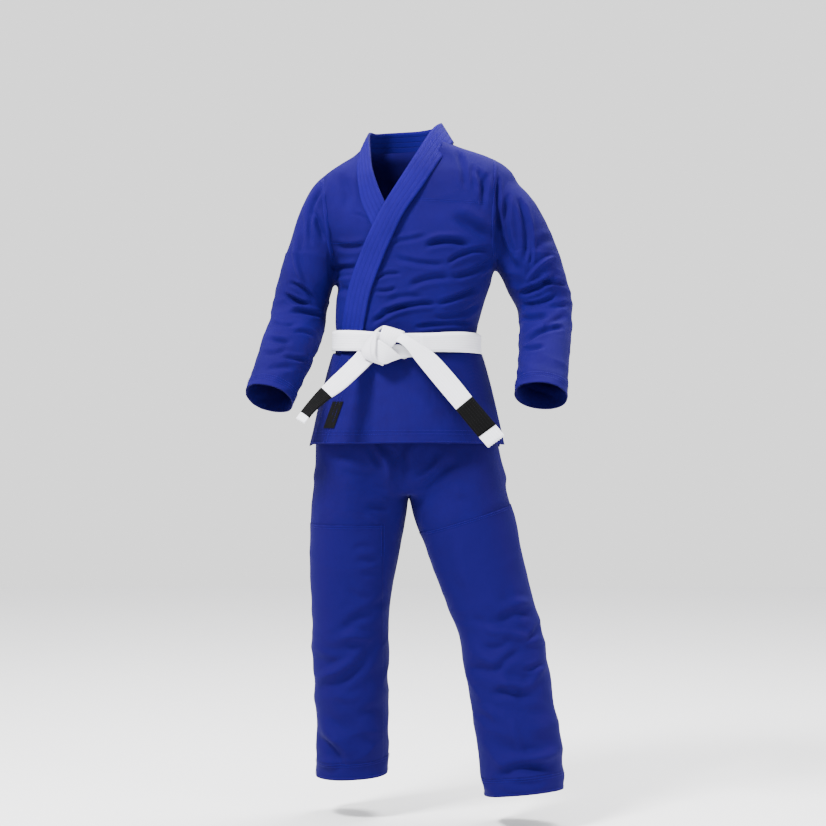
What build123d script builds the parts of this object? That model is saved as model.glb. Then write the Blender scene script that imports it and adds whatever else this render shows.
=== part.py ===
"""A martial arts uniform as it hangs on its wearer: wrapped jacket, tied belt and trousers.

Millimetres. +X is the wearer's left, -Y is the front, +Z is up. The origin is the middle of the
neck opening at the height of the shoulder seams, which is where the wearer carries the jacket.
"""

import os
from math import atan2, cos, degrees, radians

from build123d import *

os.makedirs("parts", exist_ok=True)

# Cloth and layers
jacket_cloth = 2.0  # pearl weave, one layer
trouser_cloth = 2.0  # twill, one layer
lapel_thickness = 4.5  # folded cover with its foam core
core_wall = 1.2  # cover cloth over the foam core
seam_gap = 0.4  # between pieces of different bodies that lie on each other
front_lap = 15.0  # how far the over panel laps onto its own lower layer

# Jacket body, half sizes of its level sections
neck_half_width = 84.0
neck_half_depth = 62.0
shoulder_half_width = 228.0
chest_half_width = 172.0
wrap_width = 186.0  # the edges of the wrap are given as shares of this and of the drop to the waist
chest_half_depth = 128.0
waist_half_width = 163.0
waist_half_depth = 118.0
waist_drop = 458.0  # from the shoulder seams at the neck to the bottom of the belt
collar_height = 52.0
chest_shift = 30.0  # the chest stands over to the wearer's left of the hips

# Skirt of the jacket
skirt_length = 190.0
skirt_half_width = 212.0
skirt_half_depth = 146.0
skirt_hem_width = 19.0
vent_half_gap = 14.0

# Belt
belt_width = 42.0
belt_thickness = 3.0
knot_radius = 44.0
tail_gap = 12.0
rank_bar_length = 85.0
rank_bar_thickness = 1.0

# Sleeves
upper_arm_length = 287.0
forearm_length = 239.0
armhole_half_height = 98.0
armhole_half_depth = 62.0
sleeve_start = 143.0  # along the arm, where the straight sleeve begins
sleeve_slant = 35.0  # the sleeve head reaches further down inside the arm than outside
elbow_clear = 76.0  # each side of the elbow, left to the folding cloth
hole_clear = 4.0  # from the armhole seam to the sleeve head
arm_z = -95.0  # the shoulder joints, below the shoulder seams at the neck
right_arm_out = 23.0  # the right arm stands this much further out from the chest than the left
left_arm_x = chest_shift + chest_half_width
right_arm_x = chest_shift - chest_half_width - right_arm_out
sleeve_half_width = 58.0
sleeve_half_depth = 78.0
elbow_half_width = 56.0
elbow_half_depth = 66.0
cuff_half_width = 54.0
cuff_half_depth = 55.0
cuff_band_width = 30.0

# Trousers
under_gap = 9.0  # the trousers lie this far inside the jacket
waistband_width = 40.0
seat_bottom = 198.0  # below the bottom of the belt
crotch_drop = 317.0  # below the bottom of the belt
thigh_length = 215.0
shin_length = 420.0
knee_clear = 86.0
thigh_half_width = 104.0
thigh_half_depth = 104.0
knee_half_width = 82.0
knee_half_depth = 82.0
hem_half_width = 79.0
hem_half_depth = 78.0
trouser_hem_width = 40.0
patch_cloth = 2.0
gusset_width = 5.0
loop_count = 6
eyelet_radius = 5.0

reach = 400.0  # longer than any outline is deep


# ---------------------------------------------------------------- helpers


def torso_rings(offset):
    """Level sections of the jacket body, grown outwards by offset: (height, centre x, half x, half y)."""
    rings = [
        (-waist_drop, 0.0, waist_half_width, waist_half_depth),
        (-waist_drop + 58.0, 0.0, waist_half_width, waist_half_depth),
        (-0.742 * waist_drop, 0.27 * chest_shift, 0.98 * waist_half_width, 0.95 * chest_half_depth),
        (-0.572 * waist_drop, chest_shift, chest_half_width, chest_half_depth),
        (-0.437 * waist_drop, 0.6 * chest_shift, 0.943 * shoulder_half_width, 0.98 * chest_half_depth),
        (-0.284 * waist_drop, 0.6 * chest_shift, 1.018 * shoulder_half_width, 0.87 * chest_half_depth),
        (-0.153 * waist_drop, 0.6 * chest_shift, shoulder_half_width, 0.72 * chest_half_depth),
        (-0.076 * waist_drop, 0.5 * chest_shift, 0.81 * shoulder_half_width, 1.26 * neck_half_depth),
        (-5.0, 0.25 * chest_shift, 1.31 * neck_half_width, 1.1 * neck_half_depth),
        (12.0, 0.1 * chest_shift, neck_half_width, neck_half_depth),
        (14.0 + collar_height, 0.05 * chest_shift, 0.88 * neck_half_width, 0.92 * neck_half_depth),
    ]
    grown = []
    for i, (height, centre, half_x, half_y) in enumerate(rings):
        below = rings[max(i - 1, 0)]
        above = rings[min(i + 1, len(rings) - 1)]
        normal = Vector(above[0] - below[0], 0, below[2] - above[2]).normalized()
        rise = 0.0 if i in (0, 1, len(rings) - 1) else offset * normal.Z
        spread = offset if rise == 0.0 else offset * normal.X
        grown.append((height + rise, centre, half_x + spread, half_y + offset))
    return grown


def level_shell(rings_of, low, high):
    """The layer between two offsets of a stack of level sections."""
    with BuildPart() as shell:
        for height, centre, half_x, half_y in rings_of(high):
            with BuildSketch(Plane.XY.offset(height)):
                with Locations((centre, 0)):
                    Ellipse(half_x, half_y)
        loft(ruled=True)
        for height, centre, half_x, half_y in rings_of(low):
            with BuildSketch(Plane.XY.offset(height)):
                with Locations((centre, 0)):
                    Ellipse(half_x, half_y)
        loft(ruled=True, mode=Mode.SUBTRACT)
    return shell.part


def cut_to_outline(shell, outline, behind=False, through=False):
    """The part of a shell whose front view lies inside an outline, in the front or the back half."""
    with BuildPart() as piece:
        add(shell)
        with BuildSketch(Plane.XZ):
            with BuildLine():
                Polyline(*outline, close=True)
            make_face()
        extrude(amount=-reach if behind else reach, both=through, mode=Mode.INTERSECT)
    return piece.part


def chest_points(fractions):
    """Front view points given as shares of the wrap's width and of the drop to the waist."""
    return [(u * wrap_width, -v * waist_drop) for u, v in fractions]


def limb_direction(side, out, forward):
    """The way a limb points, from its angle outwards and its angle to the front."""
    down = Vector(0, 0, -1).rotate(Axis.Y, -side * out)
    across = Vector(1, 0, 0).rotate(Axis.Y, -side * out)
    return down.rotate(Axis((0, 0, 0), across), -forward)


def limb_plane(point, direction):
    """A plane across a limb: its x runs sideways and its z along the limb."""
    sideways = Vector(1, 0, 0) - direction * direction.X
    return Plane(origin=point, x_dir=sideways, z_dir=direction)


def cloth_tube(rings, wall, outside=0.0):
    """A tube of cloth through elliptic rings (plane, half x, half y), its inner face outside them."""
    with BuildPart() as tube:
        for plane, half_x, half_y in rings:
            with BuildSketch(plane):
                Ellipse(half_x + outside + wall, half_y + outside + wall)
        loft(ruled=True)
        for plane, half_x, half_y in rings:
            with BuildSketch(plane):
                Ellipse(half_x + outside, half_y + outside)
        loft(ruled=True, mode=Mode.SUBTRACT)
    return tube.part


def between(a, b, share):
    return a + (b - a) * share


def finish(piece, name):
    """Names a piece and writes it out."""
    piece.label = name
    export_step(piece, f"parts/{name}.step")


# ---------------------------------------------------------------- jacket body

under_layer = level_shell(torso_rings, 0.0, jacket_cloth)
over_layer = level_shell(torso_rings, jacket_cloth, 2 * jacket_cloth)

armhole_left = 1.09 * wrap_width
armhole_right_top = -1.075 * wrap_width
armhole_right_bottom = -0.726 * wrap_width
armhole_bottom = -0.572 * waist_drop
side = 1.6 * wrap_width
neck_top = 10.0

# Edges of the wrap, from the neck down: each lapel's free edge and its seam
over_free = chest_points(
    [(0.40, -0.145), (0.32, -0.09), (0.237, -0.048), (0.118, 0.028), (-0.01, 0.107), (-0.118, 0.183)]
)
apex = chest_points([(-0.226, 0.266)])
over_free_low = chest_points(
    [(-0.376, 0.389), (-0.527, 0.517), (-0.613, 0.618), (-0.715, 0.769), (-0.753, 0.862), (-0.78, 1.0)]
)
over_seam = chest_points(
    [(0.56, -0.145), (0.54, -0.044), (0.344, 0.094), (0.091, 0.258), (-0.075, 0.36), (-0.194, 0.469)]
)
over_seam_low = chest_points([(-0.328, 0.585), (-0.43, 0.70), (-0.478, 0.80), (-0.51, 0.862), (-0.53, 1.0)])
under_free = chest_points([(-0.395, -0.1), (-0.392, -0.048), (-0.392, 0.052), (-0.36, 0.155)])
under_seam = chest_points([(-0.56, -0.1), (-0.52, 0.0), (-0.559, 0.155), (-0.511, 0.277), (-0.40, 0.37)])
under_edge_low = chest_points([(0.32, 0.63), (0.32, 1.0)])

with BuildPart() as back_panel:
    add(
        cut_to_outline(
            under_layer,
            [
                (armhole_left, neck_top),
                (armhole_left, armhole_bottom),
                (side, armhole_bottom),
                (side, -waist_drop),
                (-side, -waist_drop),
                (-side, armhole_bottom),
                (armhole_right_bottom, armhole_bottom),
                (armhole_right_top, neck_top),
            ],
            behind=True,
        )
    )
finish(back_panel.part, "back_panel")

with BuildPart() as right_front_panel:
    add(
        cut_to_outline(
            under_layer,
            [(armhole_right_top, neck_top), (under_free[0][0], neck_top)]
            + under_free[1:]
            + apex
            + under_edge_low
            + [(-side, -waist_drop), (-side, armhole_bottom), (armhole_right_bottom, armhole_bottom)],
        )
    )
finish(right_front_panel.part, "right_front_panel")

# The over panel lies on the under panel, and beyond that panel's edge it drops to the same layer
step = chest_points([(0.012, 0.0)])[0][0]
lower_edge = [(x + step, z) for x, z in apex + under_edge_low]
lap_edge = [(x + step + front_lap, z) for x, z in under_edge_low]
with BuildPart() as left_front_panel:
    add(
        cut_to_outline(
            under_layer,
            [(armhole_left, neck_top), (over_free[1][0], neck_top)]
            + over_free[2:]
            + lower_edge
            + [(side, -waist_drop), (side, armhole_bottom), (armhole_left, armhole_bottom)],
        )
    )
    add(
        cut_to_outline(
            over_layer,
            [over_free[-1]] + apex + over_free_low + lap_edge[::-1],
        )
    )
finish(left_front_panel.part, "left_front_panel")

# ---------------------------------------------------------------- collar and lapels

lapel_low = 2 * jacket_cloth
lapel_layer = level_shell(torso_rings, lapel_low, lapel_low + lapel_thickness)
core_layer = level_shell(torso_rings, lapel_low + core_wall, lapel_low + lapel_thickness - core_wall)
under_lapel_layer = level_shell(torso_rings, jacket_cloth, jacket_cloth + lapel_thickness)
under_core_layer = level_shell(
    torso_rings, jacket_cloth + core_wall, jacket_cloth + lapel_thickness - core_wall
)


def strip(free_edge, seam_edge, inset=0.0):
    """A lapel's front view between its free edge and its seam, drawn in by an inset."""
    with BuildSketch() as outline:
        with BuildLine():
            Polyline(*free_edge, *seam_edge[::-1], close=True)
        make_face()
        if inset:
            offset(amount=-inset, kind=Kind.INTERSECTION)
    return outline.sketch.face()


def lapel(layer, face):
    """The part of a layer whose front view is a face drawn flat on the ground plane."""
    with BuildPart() as piece:
        add(layer)
        with BuildSketch(Plane.XZ):
            add(face)
        extrude(amount=reach, mode=Mode.INTERSECT)
    return piece.part


core_inset = 4.0
over_edges = (over_free + apex + over_free_low, over_seam + over_seam_low)
under_edges = (
    under_free + chest_points([(-0.258, 0.245)]), under_seam[:-1] + chest_points([(-0.40, 0.36)])
)

with BuildPart() as left_lapel_core:
    add(lapel(core_layer, strip(*over_edges, inset=core_inset)))
finish(left_lapel_core.part, "left_lapel_core")

with BuildPart() as left_lapel:
    add(lapel(lapel_layer, strip(*over_edges)))
    add(left_lapel_core.part, mode=Mode.SUBTRACT)
finish(left_lapel.part, "left_lapel")

with BuildPart() as right_lapel_core:
    add(lapel(under_core_layer, strip(*under_edges, inset=core_inset)))
finish(right_lapel_core.part, "right_lapel_core")

with BuildPart() as right_lapel:
    add(lapel(under_lapel_layer, strip(*under_edges)))
    add(right_lapel_core.part, mode=Mode.SUBTRACT)
finish(right_lapel.part, "right_lapel")


def neck_band(layer, low, high):
    """The back half of a neck layer between two heights."""
    edge = 2 * neck_half_width
    return cut_to_outline(layer, [(-edge, low), (edge, low), (edge, high), (-edge, high)], behind=True)


with BuildPart() as collar_core:
    add(neck_band(core_layer, neck_top + core_inset, neck_top + collar_height - core_inset))
finish(collar_core.part, "collar_core")

with BuildPart() as neck_collar:
    add(neck_band(lapel_layer, neck_top, neck_top + collar_height))
    add(collar_core.part, mode=Mode.SUBTRACT)
finish(neck_collar.part, "neck_collar")

# Linings that strengthen the shoulders from inside, front and back
lining_layer = level_shell(torso_rings, -jacket_cloth, 0.0)
lining_bottom = -0.25 * waist_drop
for name, inner, outer, outer_low in (
    ("left_shoulder_lining", 0.56 * wrap_width, armhole_left, armhole_left),
    ("right_shoulder_lining", -0.60 * wrap_width, armhole_right_top, 0.84 * armhole_right_top),
):
    with BuildPart() as lining:
        add(
            cut_to_outline(
                lining_layer,
                [(inner, neck_top), (outer, neck_top), (outer_low, lining_bottom), (inner, lining_bottom)],
                through=True,
            )
        )
    finish(lining.part, name)

# ---------------------------------------------------------------- skirt


def skirt_rings(offset):
    """Level sections of the skirt, grown outwards by offset."""
    return [
        (-waist_drop - skirt_length, 0.0, skirt_half_width + offset, skirt_half_depth + offset),
        (-waist_drop, 0.0, waist_half_width + offset, waist_half_depth + offset),
    ]


skirt_bottom = -waist_drop - skirt_length
skirt_top = -waist_drop - seam_gap
under_skirt = level_shell(skirt_rings, 0.0, jacket_cloth)
over_skirt = level_shell(skirt_rings, jacket_cloth, 2 * jacket_cloth)
skirt_lapel_layer = level_shell(skirt_rings, lapel_low, lapel_low + lapel_thickness)
hem_top = skirt_bottom + skirt_hem_width


over_skirt_edge = [(-0.79 * waist_half_width, skirt_top), (-0.93 * skirt_half_width, skirt_bottom)]
lapel_share = 0.235
skirt_seam = [
    (over_skirt_edge[0][0] + lapel_share * waist_half_width, skirt_top),
    (over_skirt_edge[1][0] + lapel_share * skirt_half_width, skirt_bottom),
]
skirt_side = 1.3 * skirt_half_width

with BuildPart() as right_front_skirt:
    add(
        cut_to_outline(
            under_skirt,
            [(-skirt_side, skirt_top), (0.36 * waist_half_width, skirt_top),
             (0.36 * skirt_half_width, skirt_bottom), (-skirt_side, skirt_bottom)],
        )
    )
    split(bisect_by=Plane.XZ.offset(vent_half_gap), keep=Keep.TOP)
finish(right_front_skirt.part, "right_front_skirt")

with BuildPart() as left_front_skirt:
    add(
        cut_to_outline(
            over_skirt,
            [over_skirt_edge[0], (skirt_side, skirt_top), (skirt_side, skirt_bottom), over_skirt_edge[1]],
        )
    )
    split(bisect_by=Plane.XZ.offset(vent_half_gap), keep=Keep.TOP)
finish(left_front_skirt.part, "left_front_skirt")

with BuildPart() as skirt_lapel:
    add(
        cut_to_outline(
            skirt_lapel_layer,
            [over_skirt_edge[0], skirt_seam[0], skirt_seam[1], over_skirt_edge[1]],
        )
    )
finish(skirt_lapel.part, "skirt_lapel")

hem_layer = level_shell(skirt_rings, 2 * jacket_cloth, 3 * jacket_cloth)
hem_start = skirt_seam[1][0] + seam_gap
hem_start_top = between(skirt_seam[1][0], skirt_seam[0][0], skirt_hem_width / skirt_length) + seam_gap
with BuildPart() as front_skirt_hem:
    add(
        cut_to_outline(
            hem_layer,
            [
                (hem_start, skirt_bottom),
                (hem_start_top, hem_top),
                (skirt_side, hem_top),
                (skirt_side, skirt_bottom),
            ],
        )
    )
    split(bisect_by=Plane.XZ.offset(vent_half_gap), keep=Keep.TOP)
finish(front_skirt_hem.part, "front_skirt_hem")

with BuildPart() as back_skirt:
    add(
        cut_to_outline(
            under_skirt,
            [
                (-skirt_side, skirt_top),
                (skirt_side, skirt_top),
                (skirt_side, skirt_bottom),
                (-skirt_side, skirt_bottom),
            ],
            behind=True,
        )
    )
    split(bisect_by=Plane.XZ.offset(-vent_half_gap), keep=Keep.BOTTOM)
finish(back_skirt.part, "back_skirt")

back_hem_layer = level_shell(skirt_rings, jacket_cloth, 2 * jacket_cloth)
with BuildPart() as back_skirt_hem:
    add(
        cut_to_outline(
            back_hem_layer,
            [
                (-skirt_side, skirt_bottom),
                (-skirt_side, hem_top),
                (skirt_side, hem_top),
                (skirt_side, skirt_bottom),
            ],
            behind=True,
        )
    )
    split(bisect_by=Plane.XZ.offset(-vent_half_gap), keep=Keep.BOTTOM)
finish(back_skirt_hem.part, "back_skirt_hem")

# A woven label sewn on the lapel, low on the skirt
label_cloth = 0.6
label_layer = level_shell(
    skirt_rings, lapel_low + lapel_thickness, lapel_low + lapel_thickness + label_cloth
)
label_length = 58.0
label_width = 24.0
label_top = hem_top + 12.0 + label_length
label_low_left = between(over_skirt_edge[0][0], over_skirt_edge[1][0], 0.83) + 8.0
label_top_left = between(over_skirt_edge[0][0], over_skirt_edge[1][0], 0.53) + 8.0
with BuildPart() as skirt_label:
    add(
        cut_to_outline(
            label_layer,
            [
                (label_low_left, label_top - label_length),
                (label_top_left, label_top),
                (label_top_left + label_width, label_top),
                (label_low_left + label_width, label_top - label_length),
            ],
        )
    )
finish(skirt_label.part, "skirt_label")

# ---------------------------------------------------------------- belt

belt_bottom = -waist_drop + 14.0


def belt_turn(low, bottom):
    """One turn of the belt round the waist, with its inner face at an offset from the jacket."""
    with BuildPart() as turn:
        with BuildSketch(Plane.XY.offset(bottom)):
            Ellipse(waist_half_width + low + belt_thickness, waist_half_depth + low + belt_thickness)
            Ellipse(waist_half_width + low, waist_half_depth + low, mode=Mode.SUBTRACT)
        extrude(amount=belt_width)
    return turn.part


inner_turn_low = lapel_low + lapel_thickness + seam_gap
outer_turn_low = inner_turn_low + belt_thickness + seam_gap
with BuildPart() as belt_inner_turn:
    add(belt_turn(inner_turn_low, belt_bottom))
finish(belt_inner_turn.part, "belt_inner_turn")

with BuildPart() as belt_outer_turn:
    add(belt_turn(outer_turn_low, belt_bottom - 3.0))
finish(belt_outer_turn.part, "belt_outer_turn")

# The knot: two wraps crossing over each other, held within a circle that the tails clear
belt_front = -(waist_half_depth + outer_turn_low + belt_thickness)
knot_x = -0.21 * wrap_width
knot_z = belt_bottom + 0.5 * belt_width - 3.0
knot_depth = 26.0
wrap_half = 0.46 * belt_width
with BuildPart() as belt_knot:
    with BuildSketch(Plane.XZ.offset(-belt_front + seam_gap)):
        with Locations((knot_x, knot_z)):
            RectangleRounded(1.66 * knot_radius, 2 * wrap_half, 0.3 * wrap_half, rotation=58)
            RectangleRounded(1.62 * knot_radius, 2 * wrap_half, 0.3 * wrap_half, rotation=-40)
    extrude(amount=knot_depth)
finish(belt_knot.part, "belt_knot")


def belt_tail(name, angle, lean, length):
    """A hanging end of the belt with its rank bar: angle from straight down, lean towards the front."""
    root = Vector(knot_x, belt_front - 0.5 * knot_depth, knot_z)
    down = Vector(0, 0, -1).rotate(Axis.X, -lean).rotate(Axis.Y, -angle)
    face = Vector(0, -1, 0).rotate(Axis.X, -lean).rotate(Axis.Y, -angle)
    start = root + down * (knot_radius + tail_gap)
    plane = Plane(origin=start, x_dir=down, z_dir=face)
    with BuildPart() as tail:
        with BuildSketch(plane):
            with Locations((0.5 * length, 0)):
                Rectangle(length, belt_width)
        extrude(amount=0.5 * belt_thickness, both=True)
        fillet(tail.edges().filter_by(lambda e: abs(e.length - belt_thickness) < 0.01), 1.0)
    bar_outer = belt_thickness + 2 * rank_bar_thickness
    bar_middle = length - 0.25 * belt_width - 0.5 * rank_bar_length
    with BuildPart() as bar:
        with BuildSketch(plane):
            with Locations((bar_middle, 0)):
                Rectangle(rank_bar_length, belt_width + 2 * rank_bar_thickness)
        extrude(amount=0.5 * bar_outer, both=True)
        with BuildSketch(plane):
            with Locations((bar_middle, 0)):
                Rectangle(rank_bar_length, belt_width)
        extrude(amount=0.5 * belt_thickness, both=True, mode=Mode.SUBTRACT)
    finish(tail.part, f"{name}_tail")
    finish(bar.part, f"{name}_rank_bar")


belt_tail("left", 47.0, 4.0, 262.0)
belt_tail("right", -46.0, 24.0, 195.0)

# ---------------------------------------------------------------- sleeves

arms = {
    "left": dict(
        side=1, root=Vector(left_arm_x, 0, arm_z), out=23.4, elbow_forward=-3, fore_out=-7, fore_forward=39
    ),
    "right": dict(
        side=-1, root=Vector(right_arm_x, 0, arm_z), out=14.5, elbow_forward=-3, fore_out=16.6, fore_forward=38
    ),
}
for name, arm in arms.items():
    upper_way = limb_direction(arm["side"], arm["out"], arm["elbow_forward"])
    fore_way = limb_direction(arm["side"], arm["fore_out"], arm["fore_forward"])
    elbow = arm["root"] + upper_way * upper_arm_length
    top_way = upper_way.rotate(Axis.Y, -arm["side"] * sleeve_slant)
    sleeve_top = limb_plane(arm["root"] + upper_way * sleeve_start, top_way)
    slanted_half = sleeve_half_width / cos(radians(sleeve_slant))
    above_elbow = limb_plane(elbow - upper_way * elbow_clear, upper_way)
    below_elbow = limb_plane(elbow + fore_way * elbow_clear, fore_way)
    band_start = limb_plane(elbow + fore_way * (forearm_length - cuff_band_width), fore_way)
    cuff_end = limb_plane(elbow + fore_way * forearm_length, fore_way)
    bent_way = (upper_way + fore_way).normalized()
    at_elbow = limb_plane(elbow, bent_way)
    top_ring = (sleeve_top, slanted_half, sleeve_half_depth)
    upper_ring = (above_elbow, 1.03 * elbow_half_width, 1.06 * elbow_half_depth)
    elbow_ring = (at_elbow, elbow_half_width, 1.04 * elbow_half_depth)
    fore_ring = (below_elbow, 0.5 * (elbow_half_width + cuff_half_width), 0.97 * elbow_half_depth)
    cuff_ring = (cuff_end, cuff_half_width, cuff_half_depth)
    band_share = cuff_band_width / (forearm_length - elbow_clear)
    band_ring = (
        band_start,
        between(cuff_ring[1], fore_ring[1], band_share),
        between(cuff_ring[2], fore_ring[2], band_share),
    )

    with BuildPart() as upper_sleeve:
        add(cloth_tube([top_ring, upper_ring], jacket_cloth))
    finish(upper_sleeve.part, f"{name}_upper_sleeve")

    with BuildPart() as elbow_fold:
        add(cloth_tube([upper_ring, elbow_ring, fore_ring], jacket_cloth))
    finish(elbow_fold.part, f"{name}_elbow_fold")

    with BuildPart() as forearm_sleeve:
        add(cloth_tube([fore_ring, cuff_ring], jacket_cloth))
    finish(forearm_sleeve.part, f"{name}_forearm_sleeve")

    with BuildPart() as cuff_band:
        add(cloth_tube([band_ring, cuff_ring], jacket_cloth, outside=jacket_cloth))
    finish(cuff_band.part, f"{name}_cuff_band")

    # The sleeve head joins the armhole to the straight sleeve
    if arm["side"] > 0:
        hole_x, hole_tilt = armhole_left + hole_clear, 0.0
    else:
        hole_x = 0.5 * (armhole_right_top + armhole_right_bottom) - hole_clear
        hole_tilt = degrees(atan2(armhole_right_bottom - armhole_right_top, neck_top - armhole_bottom))
    hole_way = Vector(arm["side"], 0, 0).rotate(Axis.Y, -hole_tilt)
    hole_plane = Plane(origin=(hole_x, 0, -0.325 * waist_drop), x_dir=(0, 0, 1), z_dir=hole_way)
    turned_top = Plane(origin=sleeve_top.origin, x_dir=sleeve_top.x_dir * arm["side"], z_dir=top_way)
    with BuildPart() as sleeve_head:
        for wall, way in ((jacket_cloth, Mode.ADD), (0.0, Mode.SUBTRACT)):
            with BuildSketch(hole_plane):
                Ellipse(armhole_half_height + wall, armhole_half_depth + wall)
            with BuildSketch(turned_top):
                Ellipse(slanted_half + wall, sleeve_half_depth + wall)
            loft(ruled=True, mode=way)
    finish(sleeve_head.part, f"{name}_sleeve_head")

# ---------------------------------------------------------------- trousers

trouser_waist_x = waist_half_width - under_gap - trouser_cloth
trouser_waist_y = waist_half_depth - under_gap - trouser_cloth
seat_share = seat_bottom / (skirt_length + 8.0)
seat_x = between(waist_half_width, skirt_half_width, seat_share) - under_gap - trouser_cloth
seat_y = between(waist_half_depth, skirt_half_depth, 0.9) - 2.4 * under_gap
waist_top = -waist_drop + 50.0
waist_join = waist_top - waistband_width
seat_z = -waist_drop - seat_bottom


def seat_rings(offset):
    """Level sections of the trousers from the waist to the bottom of the seat."""
    return [
        (seat_z, 0.0, seat_x + offset, seat_y + offset),
        (waist_join, 0.0, trouser_waist_x + offset, trouser_waist_y + offset),
    ]


seat_shell = level_shell(seat_rings, 0.0, trouser_cloth)
with BuildPart() as seat_front:
    add(seat_shell)
    split(bisect_by=Plane.XZ, keep=Keep.TOP)
finish(seat_front.part, "seat_front")

with BuildPart() as seat_back:
    add(seat_shell)
    split(bisect_by=Plane.XZ, keep=Keep.BOTTOM)
finish(seat_back.part, "seat_back")

tunnel = 2 * trouser_cloth  # the waistband is a folded tunnel
eyelet_z = waist_join + 0.5 * waistband_width
eyelet_x = 0.13 * waist_half_width
with BuildPart() as waistband:
    with BuildSketch(Plane.XY.offset(waist_join)):
        Ellipse(trouser_waist_x + trouser_cloth, trouser_waist_y + trouser_cloth)
        Ellipse(trouser_waist_x - trouser_cloth, trouser_waist_y - trouser_cloth, mode=Mode.SUBTRACT)
    extrude(amount=waistband_width)
    with BuildSketch(Plane.XZ):
        with Locations((-eyelet_x, eyelet_z), (eyelet_x, eyelet_z)):
            Circle(eyelet_radius)
    extrude(amount=reach, mode=Mode.SUBTRACT)
finish(waistband.part, "waistband")

# Two metal eyelets in the waistband, where a drawcord would come out
eyelet_face = trouser_waist_y + trouser_cloth
eyelet_flange = 3.0
with BuildPart() as waist_eyelets:
    with BuildSketch(Plane.XZ.offset(eyelet_face - 2 * tunnel)):
        with Locations((-eyelet_x, eyelet_z), (eyelet_x, eyelet_z)):
            Circle(eyelet_radius)
            Circle(eyelet_radius - 1.0, mode=Mode.SUBTRACT)
    extrude(amount=2 * tunnel)
    with BuildSketch(Plane.XZ.offset(eyelet_face)):
        with Locations((-eyelet_x, eyelet_z), (eyelet_x, eyelet_z)):
            Circle(eyelet_radius + eyelet_flange)
            Circle(eyelet_radius - 1.0, mode=Mode.SUBTRACT)
    extrude(amount=1.0)
finish(waist_eyelets.part, "waist_eyelets")

loop_cloth = 1.2
loop_width = 12.0
loop_angles = [(i + 0.5) * 360.0 / loop_count for i in range(loop_count)]
with BuildPart() as cord_loops:
    with BuildSketch(Plane.XY.offset(waist_join + 2.0)):
        Ellipse(
            trouser_waist_x + trouser_cloth + 1.0 + loop_cloth,
            trouser_waist_y + trouser_cloth + 1.0 + loop_cloth,
        )
        Ellipse(
            trouser_waist_x + trouser_cloth + 1.0, trouser_waist_y + trouser_cloth + 1.0, mode=Mode.SUBTRACT
        )
    extrude(amount=waistband_width - 4.0)
    with BuildSketch(Plane.XY.offset(waist_join)):
        with PolarLocations(0.5 * reach, loop_count, start_angle=loop_angles[0]):
            Rectangle(reach, loop_width)
    extrude(amount=waistband_width, mode=Mode.INTERSECT)
finish(cord_loops.part, "cord_loops")

# ---------------------------------------------------------------- legs

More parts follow.
